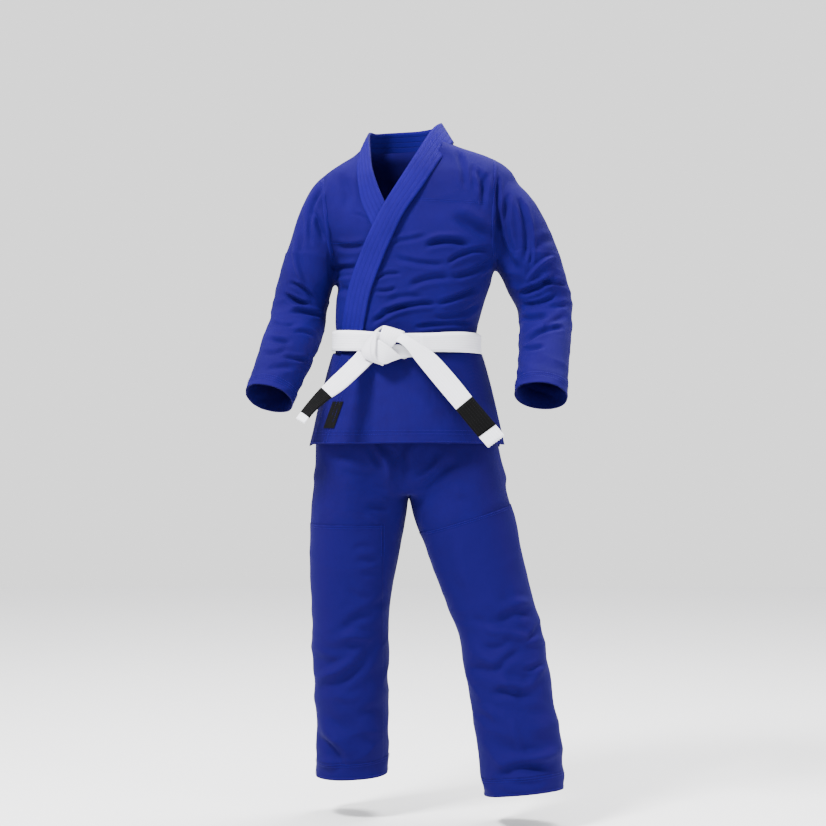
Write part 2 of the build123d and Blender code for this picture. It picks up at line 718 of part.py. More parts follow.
crotch_z = -waist_drop - crotch_drop
legs = {
    "left": dict(side=1, root=Vector(128, -6, crotch_z), out=15.6, forward=4, shin_out=9.2, shin_forward=6),
    "right": dict(
        side=-1, root=Vector(-106, 4, crotch_z), out=4.0, forward=-3, shin_out=0.5, shin_forward=-6
    ),
}
gusset_x = 0.5 * (legs["left"]["root"].X + legs["right"]["root"].X) - 3.0
for name, leg in legs.items():
    thigh_way = limb_direction(leg["side"], leg["out"], leg["forward"])
    shin_way = limb_direction(leg["side"], leg["shin_out"], leg["shin_forward"])
    knee = leg["root"] + thigh_way * thigh_length
    thigh_top = limb_plane(leg["root"], thigh_way)
    above_knee = limb_plane(knee - thigh_way * knee_clear, thigh_way)
    at_knee = limb_plane(knee, (thigh_way + shin_way).normalized())
    below_knee = limb_plane(knee + shin_way * knee_clear, shin_way)
    hem_start_plane = limb_plane(knee + shin_way * (shin_length - trouser_hem_width), shin_way)
    hem_end = limb_plane(knee + shin_way * shin_length, shin_way)
    thigh_ring = (thigh_top, thigh_half_width, thigh_half_depth)
    above_ring = (above_knee, 1.06 * knee_half_width, 1.05 * knee_half_depth)
    knee_ring = (at_knee, knee_half_width, knee_half_depth)
    below_ring = (below_knee, 1.02 * knee_half_width, 0.99 * knee_half_depth)
    hem_ring = (hem_end, hem_half_width, hem_half_depth)
    hem_share = trouser_hem_width / (shin_length - knee_clear)
    hem_start_ring = (
        hem_start_plane,
        between(hem_ring[1], below_ring[1], hem_share),
        between(hem_ring[2], below_ring[2], hem_share),
    )
    patch_end = 0.55
    patch_plane = limb_plane(between(below_knee.origin, hem_end.origin, patch_end), shin_way)
    patch_ring = (
        patch_plane,
        between(below_ring[1], hem_ring[1], patch_end),
        between(below_ring[2], hem_ring[2], patch_end),
    )

    def side_plane(along, way):
        """The plane through a leg's axis that parts its front from its back."""
        across = Vector(1, 0, 0) - way * way.X
        return Plane(origin=along, x_dir=across, z_dir=way.cross(across))

    for part_name, rings, way in (
        ("thigh", [thigh_ring, above_ring], thigh_way),
        ("shin", [below_ring, hem_ring], shin_way),
    ):
        tube = cloth_tube(rings, trouser_cloth)
        parting = side_plane(rings[0][0].origin, way)
        front_side = Keep.TOP if parting.z_dir.Y < 0 else Keep.BOTTOM
        back_side = Keep.BOTTOM if front_side == Keep.TOP else Keep.TOP
        for face_name, kept in (("front", front_side), ("back", back_side)):
            with BuildPart() as panel:
                add(tube)
                split(bisect_by=parting, keep=kept)
            finish(panel.part, f"{name}_{part_name}_{face_name}")
        patch_rings = [rings[0], rings[1]] if part_name == "thigh" else [rings[0], patch_ring]
        patch_name = "knee_patch" if part_name == "thigh" else "shin_patch"
        with BuildPart() as patch:
            add(cloth_tube(patch_rings, patch_cloth, outside=trouser_cloth))
            split(bisect_by=parting.offset(12.0 if front_side == Keep.TOP else -12.0), keep=front_side)
        finish(patch.part, f"{name}_{patch_name}")

    with BuildPart() as knee_fold:
        add(cloth_tube([above_ring, knee_ring, below_ring], trouser_cloth))
    finish(knee_fold.part, f"{name}_knee_fold")

    with BuildPart() as hem_band:
        add(cloth_tube([hem_start_ring, hem_ring], trouser_cloth, outside=trouser_cloth))
    finish(hem_band.part, f"{name}_hem_band")

    # From the seat to the top of the leg, where the cloth folds as the hip bends
    inner_edge = gusset_x + leg["side"] * (0.5 * gusset_width + seam_gap)
    outer_edge = leg["side"] * (seat_x - seam_gap)
    root_middle = 0.5 * (inner_edge + outer_edge)
    root_half = 0.5 * abs(outer_edge - inner_edge) - trouser_cloth
    root_plane = Plane(origin=(root_middle, 0, seat_z - seam_gap), x_dir=(1, 0, 0), z_dir=(0, 0, -1))
    with BuildPart() as seat_fold:
        add(cloth_tube([(root_plane, root_half, seat_y - trouser_cloth), thigh_ring], trouser_cloth))
    finish(seat_fold.part, f"{name}_seat_fold")

# The gusset runs between the legs from the front of the seat to the back
gusset_drop = 0.62 * (crotch_drop - seat_bottom)
gusset_y = 0.9 * seat_y
with BuildPart() as crotch_gusset:
    with BuildSketch(Plane.YZ.offset(gusset_x - 0.5 * gusset_width)):
        with BuildLine():
            ThreePointArc(
                (-gusset_y, seat_z - seam_gap), (0, seat_z - gusset_drop), (gusset_y, seat_z - seam_gap)
            )
            inner_y = gusset_y - trouser_cloth
            Line((gusset_y, seat_z - seam_gap), (inner_y, seat_z - seam_gap))
            ThreePointArc(
                (inner_y, seat_z - seam_gap),
                (0, seat_z - gusset_drop + trouser_cloth),
                (-inner_y, seat_z - seam_gap),
            )
            Line((-inner_y, seat_z - seam_gap), (-gusset_y, seat_z - seam_gap))
        make_face()
    extrude(amount=gusset_width)
finish(crotch_gusset.part, "crotch_gusset")
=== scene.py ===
# Martial arts uniform as worn: wrapped jacket, tied belt and trousers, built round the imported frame.
# Sizes in the tables are millimetres, in the frame's own axes: +X the wearer's left, -Y the front.
from math import cos, pi, radians, sin

import bmesh
import bpy
import numpy as np
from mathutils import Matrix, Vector, noise
from mathutils.bvhtree import BVHTree


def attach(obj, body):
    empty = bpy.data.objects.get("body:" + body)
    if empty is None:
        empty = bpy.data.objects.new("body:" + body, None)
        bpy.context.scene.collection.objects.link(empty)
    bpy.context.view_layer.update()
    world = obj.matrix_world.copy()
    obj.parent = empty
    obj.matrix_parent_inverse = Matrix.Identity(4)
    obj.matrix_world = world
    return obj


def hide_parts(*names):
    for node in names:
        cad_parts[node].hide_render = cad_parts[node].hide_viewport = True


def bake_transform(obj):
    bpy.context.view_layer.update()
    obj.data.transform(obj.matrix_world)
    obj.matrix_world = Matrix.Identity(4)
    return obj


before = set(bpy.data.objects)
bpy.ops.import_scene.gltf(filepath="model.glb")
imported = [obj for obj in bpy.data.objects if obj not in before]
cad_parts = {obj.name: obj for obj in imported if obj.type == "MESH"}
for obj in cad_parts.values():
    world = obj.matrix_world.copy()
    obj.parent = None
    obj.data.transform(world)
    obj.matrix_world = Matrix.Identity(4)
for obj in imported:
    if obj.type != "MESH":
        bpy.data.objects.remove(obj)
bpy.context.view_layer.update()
mm = 0.001
print("frame loaded,", len(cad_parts), "nodes")


# ---- shared shapes


def smoothRows(rows, steps):
    # a smooth run through rows of numbers, with steps between each two
    rows = np.array(rows, float)
    padded = np.vstack([2 * rows[0] - rows[1], rows, 2 * rows[-1] - rows[-2]])
    out = []
    for i in range(1, len(padded) - 2):
        a, b, c, d = padded[i - 1 : i + 3]
        for k in range(steps):
            t = k / steps
            bend = (2 * a - 5 * b + 4 * c - d) * t * t + (-a + 3 * b - 3 * c + d) * t**3
            out.append(0.5 * (2 * b + (c - a) * t + bend))
    out.append(padded[-2])
    return np.array(out)


def newPiece(name, mesh):
    piece = bpy.data.objects.new(name, mesh)
    bpy.context.scene.collection.objects.link(piece)
    return piece


def meshFrom(name, verts, faces):
    mesh = bpy.data.meshes.new(name)
    mesh.from_pydata([tuple(v) for v in verts], [], faces)
    mesh.validate()
    mesh.update()
    return mesh


def applied(piece):
    # the piece with its modifiers made real
    graph = bpy.context.evaluated_depsgraph_get()
    mesh = bpy.data.meshes.new_from_object(piece.evaluated_get(graph))
    piece.modifiers.clear()
    old = piece.data
    piece.data = mesh
    bpy.data.meshes.remove(old)
    return piece


def smoothShade(piece):
    for polygon in piece.data.polygons:
        polygon.use_smooth = True
    return piece


def closedTube(name, rows, level=False, sides=56, squareness=2.2):
    # a closed tube through rows of x, y, z, half width and half depth
    rows = smoothRows(rows, 5) * mm
    verts = []
    for i, row in enumerate(rows):
        before, after = rows[max(i - 1, 0)][:3], rows[min(i + 1, len(rows) - 1)][:3]
        along = Vector((0, 0, -1)) if level else Vector(after - before).normalized()
        across = (Vector((1, 0, 0)) - along * along.x).normalized()
        deep = along.cross(across)
        for k in range(sides):
            turn = 2 * pi * k / sides
            c, s = cos(turn), sin(turn)
            cx = abs(c) ** (2 / squareness) * (1 if c > 0 else -1)
            sy = abs(s) ** (2 / squareness) * (1 if s > 0 else -1)
            verts.append(Vector(row[:3]) + across * cx * row[3] + deep * sy * row[4])
    faces = []
    for i in range(len(rows) - 1):
        for k in range(sides):
            a, b = i * sides + k, i * sides + (k + 1) % sides
            faces.append((a, b, b + sides, a + sides))
    last = (len(rows) - 1) * sides
    faces.append(tuple(range(sides))[::-1])
    faces.append(tuple(range(last, last + sides)))
    return newPiece(name, meshFrom(name, verts, faces))


def joined(name, pieces, voxel, smoothing):
    # one closed skin round overlapping closed pieces, with even small faces
    verts, faces = [], []
    for piece in pieces:
        start = len(verts)
        verts += [v.co.copy() for v in piece.data.vertices]
        faces += [tuple(start + i for i in p.vertices) for p in piece.data.polygons]
        bpy.data.objects.remove(piece)
    skin = newPiece(name, meshFrom(name, verts, faces))
    bm = bmesh.new()
    bm.from_mesh(skin.data)
    bmesh.ops.recalc_face_normals(bm, faces=bm.faces)
    bm.to_mesh(skin.data)
    bm.free()
    remesh = skin.modifiers.new("skin", "REMESH")
    remesh.mode = "VOXEL"
    remesh.voxel_size = voxel * mm
    smooth = skin.modifiers.new("smooth", "SMOOTH")
    smooth.factor = 0.5
    smooth.iterations = smoothing
    return applied(skin)


def cutAway(piece, point, normal, keepTest=None):
    # removes what lies beyond a plane, only where keepTest allows
    bm = bmesh.new()
    bm.from_mesh(piece.data)
    point, normal = Vector(point) * mm, Vector(normal).normalized()
    faces = [f for f in bm.faces if keepTest is None or keepTest(f.calc_center_median() / mm)]
    edges = {e for f in faces for e in f.edges}
    verts = {v for f in faces for v in f.verts}
    bmesh.ops.bisect_plane(
        bm, geom=list(verts) + list(edges) + faces, plane_co=point, plane_no=normal, clear_outer=True
    )
    bmesh.ops.dissolve_degenerate(bm, edges=bm.edges, dist=0.0004)
    bm.to_mesh(piece.data)
    bm.free()
    return piece


def keepFaces(piece, name, test):
    # a copy of the faces whose centre passes the test
    bm = bmesh.new()
    bm.from_mesh(piece.data)
    gone = [f for f in bm.faces if not test(f.calc_center_median() / mm)]
    bmesh.ops.delete(bm, geom=gone, context="FACES")
    mesh = bpy.data.meshes.new(name)
    bm.to_mesh(mesh)
    bm.free()
    return newPiece(name, mesh)


def surfaceOf(piece):
    bm = bmesh.new()
    bm.from_mesh(piece.data)
    tree = BVHTree.FromBMesh(bm)
    bm.free()
    return tree


# ---- cloth


def band(name, edgeA, edgeB, thick, steps=6, across=6, lift=None, crown=0.0):
    # a flat thick strip between two edge curves; lift moves it along its own normal
    a, b = smoothRows(edgeA, steps) * mm, smoothRows(edgeB, steps) * mm
    n = len(a)
    mid = (a + b) / 2
    wide = b - a
    along = np.gradient(mid, axis=0)
    normal = np.cross(along, wide)
    normal /= np.linalg.norm(normal, axis=1, keepdims=True)
    half = np.linalg.norm(wide, axis=1, keepdims=True) / 2
    side = wide / (2 * half)
    shift = np.zeros((n, 1)) if lift is None else smoothRows([[v] for v in lift], steps) * mm
    edge = thick / 2
    faceShare = 0.985  # the faces stop short of the rounded edges
    shares = [-1 + 2 * k / across for k in range(across + 1)]
    profile = [(-1.0, -0.5), (-1.0, 0.5)] + [(u * faceShare, 1.0) for u in shares] + [(1.0, 0.5), (1.0, -0.5)]
    profile += [(u * faceShare, -1.0) for u in np.linspace(1, -1, across + 1)]
    verts, faces = [], []
    count = len(profile)
    for i in range(n):
        for u, v in profile:
            bulge = crown * mm * (1 - u * u)
            verts.append(mid[i] + side[i] * half[i] * u + normal[i] * (v * edge * mm + shift[i] + bulge))
    for i in range(n - 1):
        for k in range(count):
            p, q = i * count + k, i * count + (k + 1) % count
            faces.append((p, q, q + count, p + count))
    last = (n - 1) * count
    faces.append(tuple(range(count))[::-1])
    faces.append(tuple(range(last, last + count)))
    piece = newPiece(name, meshFrom(name, verts, faces))
    bm = bmesh.new()
    bm.from_mesh(piece.data)
    bmesh.ops.recalc_face_normals(bm, faces=bm.faces)
    rowsLayer = bm.loops.layers.uv.new("rows")
    for face in bm.faces:
        for loop in face.loops:
            i, k = divmod(loop.vert.index, count)
            loop[rowsLayer].uv = (i / (n - 1), (profile[k][0] + 1) / 2)
    bm.to_mesh(piece.data)
    bm.free()
    return smoothShade(piece)


# ---- jacket

jacket = {
    "voxel": 7.0,
    "smoothing": 10,
    # x, y, z, half width, half depth, from the neck down
    "torso": [
        (4, 6, 75, 78, 62), (6, 5, 40, 84, 64), (7, 4, 12, 98, 66), (32, 2, -12, 142, 64),
        (37, 2, -32, 180, 72),
        (33, 0, -53, 206, 82), (29, 0, -75, 220, 90), (26, 0, -107, 226, 98), (20, 0, -160, 218, 112),
        (24, 0, -215, 190, 122), (26, 0, -262, 172, 127), (21, 0, -302, 168, 127), (11, 0, -345, 164, 124),
        (4, 0, -391, 158, 119), (2.5, 0, -425, 154, 116), (1, 0, -470, 158, 118), (1, 0, -490, 158, 118),
    ],
    "leftArm": [
        (140, 0, -92, 44, 52), (185, 0, -108, 62, 66), (226, 2, -150, 70, 76), (256, 6, -205, 71, 79),
        (284, 10, -268, 68, 78), (309, 14, -335, 62, 70), (312, -8, -385, 58, 63), (306, -52, -438, 56, 60),
        (301, -92, -484, 55, 58), (296, -126, -526, 55, 57), (292, -150, -556, 55, 57),
        (289, -165, -575, 55, 57),
    ],
    "rightArm": [
        (-100, 0, -92, 44, 50), (-140, 0, -104, 60, 64), (-171, 2, -150, 62, 74), (-194, 6, -215, 61, 78),
        (-218, 10, -285, 60, 76), (-233, 14, -345, 60, 69), (-240, -10, -395, 60, 63),
        (-256, -55, -445, 59, 60),
        (-271, -95, -490, 55, 58), (-285, -128, -532, 51, 56), (-294, -150, -560, 50, 56),
        (-300, -163, -578, 50, 56),
    ],
    # where the openings are cut: a point, the way out of the cloth, and the faces that may be cut
    "cuts": [
        ((0, 0, 4), (-0.09, 0.02, 1), lambda c: abs(c.x) < 130 and c.z > -60),
        ((0, 0, -462), (0, 0, -1), lambda c: abs(c.x) < 200),
        ((293, -124, -556), (-0.12, -0.46, -0.88), lambda c: c.x > 225 and c.z < -440),
        ((-290, -126, -562), (-0.22, -0.46, -0.86), lambda c: c.x < -200 and c.z < -440),
    ],
}


def buildJacket():
    torso = closedTube("torso", jacket["torso"], level=True, squareness=2.35)
    left = closedTube("leftArm", jacket["leftArm"])
    right = closedTube("rightArm", jacket["rightArm"])
    skin = joined("jacket", [torso, left, right], jacket["voxel"], jacket["smoothing"])
    for point, way, test in jacket["cuts"]:
        cutAway(skin, point, way, test)
    return skin


jacketSkin = buildJacket()
print("jacket skin,", len(jacketSkin.data.vertices), "vertices")

def folded(piece, folds, broad, behind=0.7, narrow=0.78, deeper=1.3):
    # finer faces, then folds pressed along lines seen from the front, and softer ones behind
    finer = piece.modifiers.new("finer", "SUBSURF")
    finer.levels = finer.render_levels = 1
    applied(piece)
    mesh = piece.data
    count = len(mesh.vertices)
    place = np.empty(count * 3)
    facing = np.empty(count * 3)
    mesh.vertices.foreach_get("co", place)
    mesh.vertices.foreach_get("normal", facing)
    place, facing = place.reshape(-1, 3) / mm, facing.reshape(-1, 3)
    lift = np.zeros(count)
    for face in (1, -1):
        share = np.clip((-facing[:, 1] * face - 0.02) / 0.4, 0, 1)
        share = share * share * (3 - 2 * share) * (1.0 if face == 1 else behind)
        for number, (x0, z0, x1, z1, wide, deep) in enumerate(folds):
            wide, deep = wide * narrow, deep * deeper
            if face == -1:  # behind, the folds lie a little elsewhere
                drift = 14 * sin(number * 2.4)
                x0, x1, z0, z1, wide = x0 - drift, x1 + drift, z0 - 17 + drift, z1 - 9 - drift, wide * 1.35
            run = np.array([x1 - x0, z1 - z0], float)
            length = max(np.hypot(*run), 1)
            run /= length
            dx, dz = place[:, 0] - x0, place[:, 2] - z0
            t = (dx * run[0] + dz * run[1]) / length
            arc = 0.1 * length * sin(number * 1.7) * (1 - (2 * np.clip(t, 0, 1) - 1) ** 2)
            s = -dx * run[1] + dz * run[0] - arc
            slack = 1.1 * wide / length
            fading = 2 * slack + 0.15
            ends = np.clip((t + slack) / fading, 0, 1) * np.clip((1 + slack - t) / fading, 0, 1)
            ends = ends * ends * (3 - 2 * ends)
            core = np.exp(-((s / wide) ** 2))
            rims = np.exp(-(((s - 1.7 * wide) / wide) ** 2)) + 0.6 * np.exp(-(((s + 1.7 * wide) / wide) ** 2))
            lift += share * ends * deep * (core - 0.42 * rims)
    for i in range(count):
        x, y, z = place[i]
        lift[i] += broad(x, y, z)
    place += facing * lift[:, None]
    mesh.vertices.foreach_set("co", (place * mm).ravel())
    mesh.update()
    return piece


def softRidges(x, y, z, size, stretch, lean):
    # soft random folds: long along one way, short across it
    c, s = cos(lean), sin(lean)
    p = Vector(((x * c + z * s) / (size * stretch), y / (size * stretch), (z * c - x * s) / size))
    return 1 - 2 * abs(noise.noise(p))


jacketFolds = [
    # chest, from the armpit across to the lapel
    (112, -158, 190, -205, 17, -9), (44, -223, 138, -220, 9, -9), (-28, -214, 45, -201, 7, -3),
    (186, -228, 90, -262, 7, -6), (90, -262, -22, -248, 8, -4), (190, -248, 100, -291, 8, -6),
    (100, -291, 8, -310, 9, -5), (-8, -283, -62, -291, 6, -4), (-18, -314, -66, -319, 6, -4),
    (162, -309, 70, -348, 7, -7), (70, -348, -72, -390, 7, -7), (4, -352, -52, -366, 6, -5),
    (165, -343, 62, -378, 8, -4), (152, -386, 20, -399, 6, -5), (40, -336, -40, -344, 8, -3),
    # shoulder
    (116, -8, 133, -96, 9, -4), (158, -52, 172, -112, 10, -4), (182, -58, 172, -138, 8, -4),
    (148, -44, 152, -92, 7, -3), (-138, -66, -128, -138, 14, -4), (-176, -60, -196, -120, 8, -3),
    # the other side of the lapel
    (-152, -217, -86, -219, 9, -5), (-162, -262, -104, -267, 8, -5), (-152, -312, -116, -322, 11, -5),
    (-158, -290, -110, -292, 7, 3), (-186, -92, -206, -214, 8, -7), (-202, -138, -176, -206, 8, -7),
    (-112, -150, -70, -176, 5, -2),
    # wearer's left sleeve
    (205, -66, 212, -196, 6, -6), (226, -104, 240, -240, 8, -6), (249, -112, 263, -250, 8, -7),
    (266, -150, 272, -268, 5, -4), (205, -150, 243, -272, 13, -9), (254, -322, 328, -286, 8, -9),
    (268, -296, 330, -240, 6, 5), (300, -297, 356, -301, 6, -5), (262, -348, 334, -322, 7, -5),
    (256, -380, 312, -374, 8, -6), (262, -432, 346, -398, 7, -6), (258, -447, 300, -441, 6, -4),
    (318, -352, 362, -340, 7, -3), (300, -404, 352, -372, 8, -3), (282, -222, 330, -200, 12, -3),
    # wearer's right sleeve
    (-240, -218, -221, -300, 7, 6), (-262, -324, -213, -347, 7, -8), (-252, -298, -200, -336, 6, -6),
    (-252, -361, -180, -371, 7, -7), (-292, -384, -238, -393, 6, -4), (-294, -424, -248, -433, 7, -6),
    (-240, -408, -198, -416, 6, -4), (-262, -464, -208, -471, 6, -4), (-304, -456, -256, -449, 7, -3),
    (-226, -150, -232, -232, 9, -4), (-296, -494, -240, -488, 8, -3),
]


def jacketBroad(x, y, z):
    value = 0.8 * softRidges(x, y, z, 42, 2.6, 0.35) + 0.4 * noise.noise(Vector((x, y, z)) / 21)
    if abs(x - 15) > 185 and z < -230:  # the lower sleeves crumple more
        value += 2.0 * softRidges(x, y + 40, z, 30, 2.4, -0.25 if x > 0 else 0.3)
    edge = min(1, max(0, (z + 470) / 60)) if abs(x) < 190 else 1
    return value * edge * min(1, max(0.15, (12 - z) / 50))


folded(jacketSkin, jacketFolds, jacketBroad)
print("jacket folded,", len(jacketSkin.data.vertices), "vertices")


# ---- trousers

trousers = {
    "voxel": 7.5,
    "smoothing": 8,
    "hips": [
        (0, 0, -385, 150, 105), (0, 0, -420, 151, 106), (0, 0, -480, 154, 107), (0, 0, -560, 176, 110),
        (4, 0, -640, 200, 114), (8, 0, -697, 208, 110), (12, 0, -735, 214, 104), (14, 0, -762, 190, 90),
    ],
    "leftLeg": [
        (98, 0, -640, 80, 84), (112, -2, -700, 98, 102), (127, -6, -790, 104, 105),
        (146, -10, -852, 102, 102),
        (163, -14, -915, 97, 97), (183, -20, -977, 92, 92), (203, -26, -1039, 88, 88),
        (217, -33, -1101, 87, 86),
        (228, -40, -1163, 88, 85), (239, -46, -1225, 88, 84), (248, -53, -1288, 88, 83),
        (256, -60, -1350, 87, 82),
        (261, -66, -1425, 85, 81), (263, -70, -1470, 85, 81),
    ],
    "rightLeg": [
        (-84, 2, -640, 80, 84), (-92, 3, -700, 98, 102), (-103, 6, -790, 103, 105), (-108, 9, -852, 101, 101),
        (-114, 12, -915, 96, 96), (-119, 16, -977, 89, 91), (-120, 22, -1039, 83, 86),
        (-121, 30, -1101, 82, 84),
        (-120, 38, -1163, 80, 82), (-119, 44, -1225, 79, 81), (-117, 50, -1288, 77, 80),
        (-118, 56, -1350, 77, 79),
        (-119, 62, -1420, 77, 79), (-119, 66, -1460, 77, 79),
    ],
    "cuts": [
        ((0, 0, -408), (0, 0, 1), None),
        ((260, -65, -1412), (0.1, -0.08, -1), lambda c: c.x > 60 and c.z < -1200),
        ((-119, 60, -1392), (0.05, 0.05, -1), lambda c: c.x < 60 and c.z < -1200),
    ],
    # where the legs part: the middle, the heights it lies between, and how far and hard it is drawn in
    "fork": {"x": 8, "from": -880, "to": -730, "top": -775, "tall": 90, "reach": 60, "pinch": 0.6},
}


def buildTrousers():
    hips = closedTube("hips", trousers["hips"], level=True, squareness=2.3)
    left = closedTube("leftLeg", trousers["leftLeg"])
    right = closedTube("rightLeg", trousers["rightLeg"])
    skin = joined("trousers", [hips, left, right], trousers["voxel"], trousers["smoothing"])
    for point, way, test in trousers["cuts"]:
        cutAway(skin, point, way, test)
    fork = trousers["fork"]
    for v in skin.data.vertices:  # the legs part in a point, not a round arch
        x, z = v.co.x / mm - fork["x"], v.co.z / mm
        down = min(1, max(0, (fork["top"] - z) / fork["tall"]))
        near = max(0, 1 - abs(x) / fork["reach"])
        if fork["from"] < z < fork["to"] and near > 0:
            v.co.x = (fork["x"] + x * (1 - fork["pinch"] * (1 - down) * near * near * (3 - 2 * near))) * mm
    return skin


trouserSkin = buildTrousers()
print("trouser skin,", len(trouserSkin.data.vertices), "vertices")

trouserFolds = [
    # crotch
    (-14, -652, -4, -766, 12, -10), (-60, -662, -36, -738, 8, 7), (-76, -655, -48, -706, 7, -5),
    (24, -734, 78, -684, 8, 7), (38, -745, 112, -690, 10, -6), (-38, -655, -22, -700, 6, -5),
    (14, -655, 10, -690, 9, 4),
    # wearer's right thigh and knee
    (-142, -712, -58, -722, 10, -6), (-104, -768, -34, -771, 9, 5), (-88, -793, -38, -790, 8, -8),
    (-82, -806, -48, -820, 6, 4), (-102, -905, -58, -904, 8, -5), (-112, -880, -68, -879, 7, -3),
    (-92, -936, -58, -930, 7, -3), (-122, -968, -78, -992, 8, -3), (-134, -1052, -68, -1018, 10, -6),
    (-144, -1074, -80, -1079, 8, 6), (-184, -1100, -88, -1094, 10, -4), (-152, -1182, -66, -1088, 11, -8),
    (-192, -1186, -108, -1128, 8, 6), (-198, -1128, -140, -1141, 12, -5), (-70, -1010, -42, -985, 8, -4),
    # wearer's right shin
    (-187, -1262, -108, -1342, 12, 9), (-192, -1300, -138, -1368, 10, -8), (-124, -1272, -66, -1322, 12, -5),
    (-154, -1204, -98, -1206, 8, 3), (-186, -1364, -142, -1358, 8, 5), (-100, -1250, -52, -1240, 9, -3),
    # wearer's left thigh and knee
    (104, -742, 132, -764, 9, 3), (94, -866, 120, -982, 14, -5), (206, -1032, 274, -1018, 10, -9),
    (178, -1054, 268, -1077, 9, 9), (172, -1091, 222, -1086, 9, -8), (158, -1104, 212, -1127, 8, 6),
    (198, -1146, 252, -1098, 8, -6), (148, -1139, 196, -1147, 8, -6), (204, -1159, 272, -1177, 10, 9),
    (270, -1174, 302, -1128, 8, 5), (192, -1190, 258, -1194, 9, -9), (254, -1141, 304, -1128, 5, -4),
    (214, -968, 240, -1010, 13, -5), (150, -1030, 176, -1046, 9, -4), (256, -1086, 302, -1082, 7, 4),
    (232, -990, 268, -1000, 8, 5), (262, -1082, 290, -1046, 5, -4),
    # wearer's left shin
    (164, -1222, 202, -1247, 8, 5), (242, -1204, 214, -1160, 8, 4), (198, -1284, 232, -1312, 15, -6),
    (230, -1248, 252, -1322, 8, 5), (204, -1366, 306, -1350, 10, -14), (248, -1330, 328, -1322, 9, 8),
    (208, -1386, 312, -1384, 8, 5), (268, -1300, 322, -1288, 13, -5), (252, -1226, 300, -1240, 9, -4),
]


def trouserBroad(x, y, z):
    lean = 0.2 if x > 0 else -0.2
    value = 2.0 * softRidges(x, y, z, 70, 1.8, lean) + 0.4 * noise.noise(Vector((x, y, z)) / 22)
    if z < -960:  # the lower legs crumple more
        share = min(1, (-960 - z) / 120)
        value += share * 4.2 * softRidges(x, y + 90, z, 56, 2.0, -0.5 if x > 0 else 0.45)
    return value


folded(trouserSkin, trouserFolds, trouserBroad, narrow=1.2, deeper=0.85)
print("trousers folded,", len(trouserSkin.data.vertices), "vertices")


# ---- wrap of the jacket: neck opening, lapels and collar

lapels = {
    "thick": 5.5,
    "lift": 3.0,
    "overlap": 5.0,  # the upper lapel lies this much further out where they cross
    "beltTop": -420,  # below here the lapel is pressed flat under the belt
    "pressed": -3.0,
    "rise": 180,
    # seam edge then free edge: x, z, and y where nothing lies under it
    "over": [
        ((-90, -441), (-136, -437)), ((-88, -414), (-135, -408)), ((-82, -376), (-130, -368)),
        ((-70, -322), (-118, -309)), ((-48, -260), (-95, -242)), ((-26, -206), (-71, -184)),
        ((1, -150), (-42, -127)),
    ],
    "neck": [
        ((36, -98, -93), (-8, -71, -86)), ((70, -44, -70), (26, -15, -62)), ((100, 4, -26), (58, 40, -24)),
        ((103, 12, 14), (77, 60, 16)), ((84, -2, 48), (64, 54, 44)), ((44, -6, 72), (34, 50, 62)),
        ((0, -8, 78), (0, 48, 66)), ((-44, -10, 70), (-34, 45, 60)), ((-80, -12, 42), (-60, 40, 40)),
        ((-95, -8, 2), (-76, 36, 10)), ((-103, -40, -48), (-74, -12, -42)),
    ],
    "under": [((-101, -86), (-70, -50)), ((-93, -128), (-58, -89)), ((-76, -166), (-42, -127)),
        ((-62, -198), (-22, -166))],
    "underDepth": [-74, -92, -104, -112],
    "rows": (-0.82, -0.42, 0.0, 0.42, 0.82),
}
vOpening = [
    (-86, 30), (-92, -10), (-88, -60), (-76, -108), (-54, -146), (-28, -168), (-8, -142), (30, -86),
    (64, -28),
    (88, 20), (88, 60), (-86, 60),
]


def insideOutline(x, z, outline):
    inside = False
    for (x0, z0), (x1, z1) in zip(outline, outline[1:] + outline[:1]):
        if (z0 > z) != (z1 > z) and x < (x1 - x0) * (z - z0) / (z1 - z0) + x0:
            inside = not inside
    return inside


jacketSurface = surfaceOf(jacketSkin)


def frontDepth(x, z):
    # how far forward the jacket lies at this place
    return jacketSurface.ray_cast(Vector((x, -900, z)) * mm, Vector((0, 1, 0)))[0].y / mm


def lapelEdges():
    seam, free, lift = [], [], []
    for (sx, sz), (fx, fz) in lapels["over"]:
        seam.append((sx, frontDepth(sx, sz), sz))
        free.append((fx, frontDepth(fx, fz), fz))
        above = min(1, (sz - lapels["beltTop"]) / lapels["rise"])
        lift.append(lapels["lift"] + lapels["overlap"] * above if above > 0 else lapels["pressed"])
    for number, ((sx, sz, sy), (fx, fz, fy)) in enumerate(lapels["neck"]):
        seam.append((sx, sy, sz))
        free.append((fx, fy, fz))
        lift.append(lapels["lift"] + max(0, 1 - number / 3) * lapels["overlap"])
    for ((sx, sz), (fx, fz)), depth in zip(lapels["under"], lapels["underDepth"]):
        seam.append((sx, frontDepth(sx, sz), sz))
        free.append((fx, depth, fz))
        lift.append(lapels["lift"] - 1)
    return seam, free, lift


seamEdge, freeEdge, lapelLift = lapelEdges()
lapelBand = band("lapelBand", seamEdge, freeEdge, lapels["thick"], steps=10, across=10, lift=lapelLift,
    crown=1.2)


def rowAlong(edgeA, edgeB, thick, share, steps=6, lift=None, crown=0.0, outwards=1):
    # points along a band at a share of its half width, on its outer face
    a, b = smoothRows(edgeA, steps), smoothRows(edgeB, steps)
    mid, wide = (a + b) / 2, b - a
    normal = np.cross(np.gradient(mid, axis=0), wide)
    normal /= np.linalg.norm(normal, axis=1, keepdims=True)
    shift = np.zeros((len(a), 1)) if lift is None else smoothRows([[v] for v in lift], steps)
    bulge = crown * (1 - share * share)
    points = mid + wide / 2 * share + normal * (outwards * (thick / 2 + 0.2) + shift + bulge)
    return points, normal * outwards


stitchRows = {}  # rows of points and normals, by body and thread


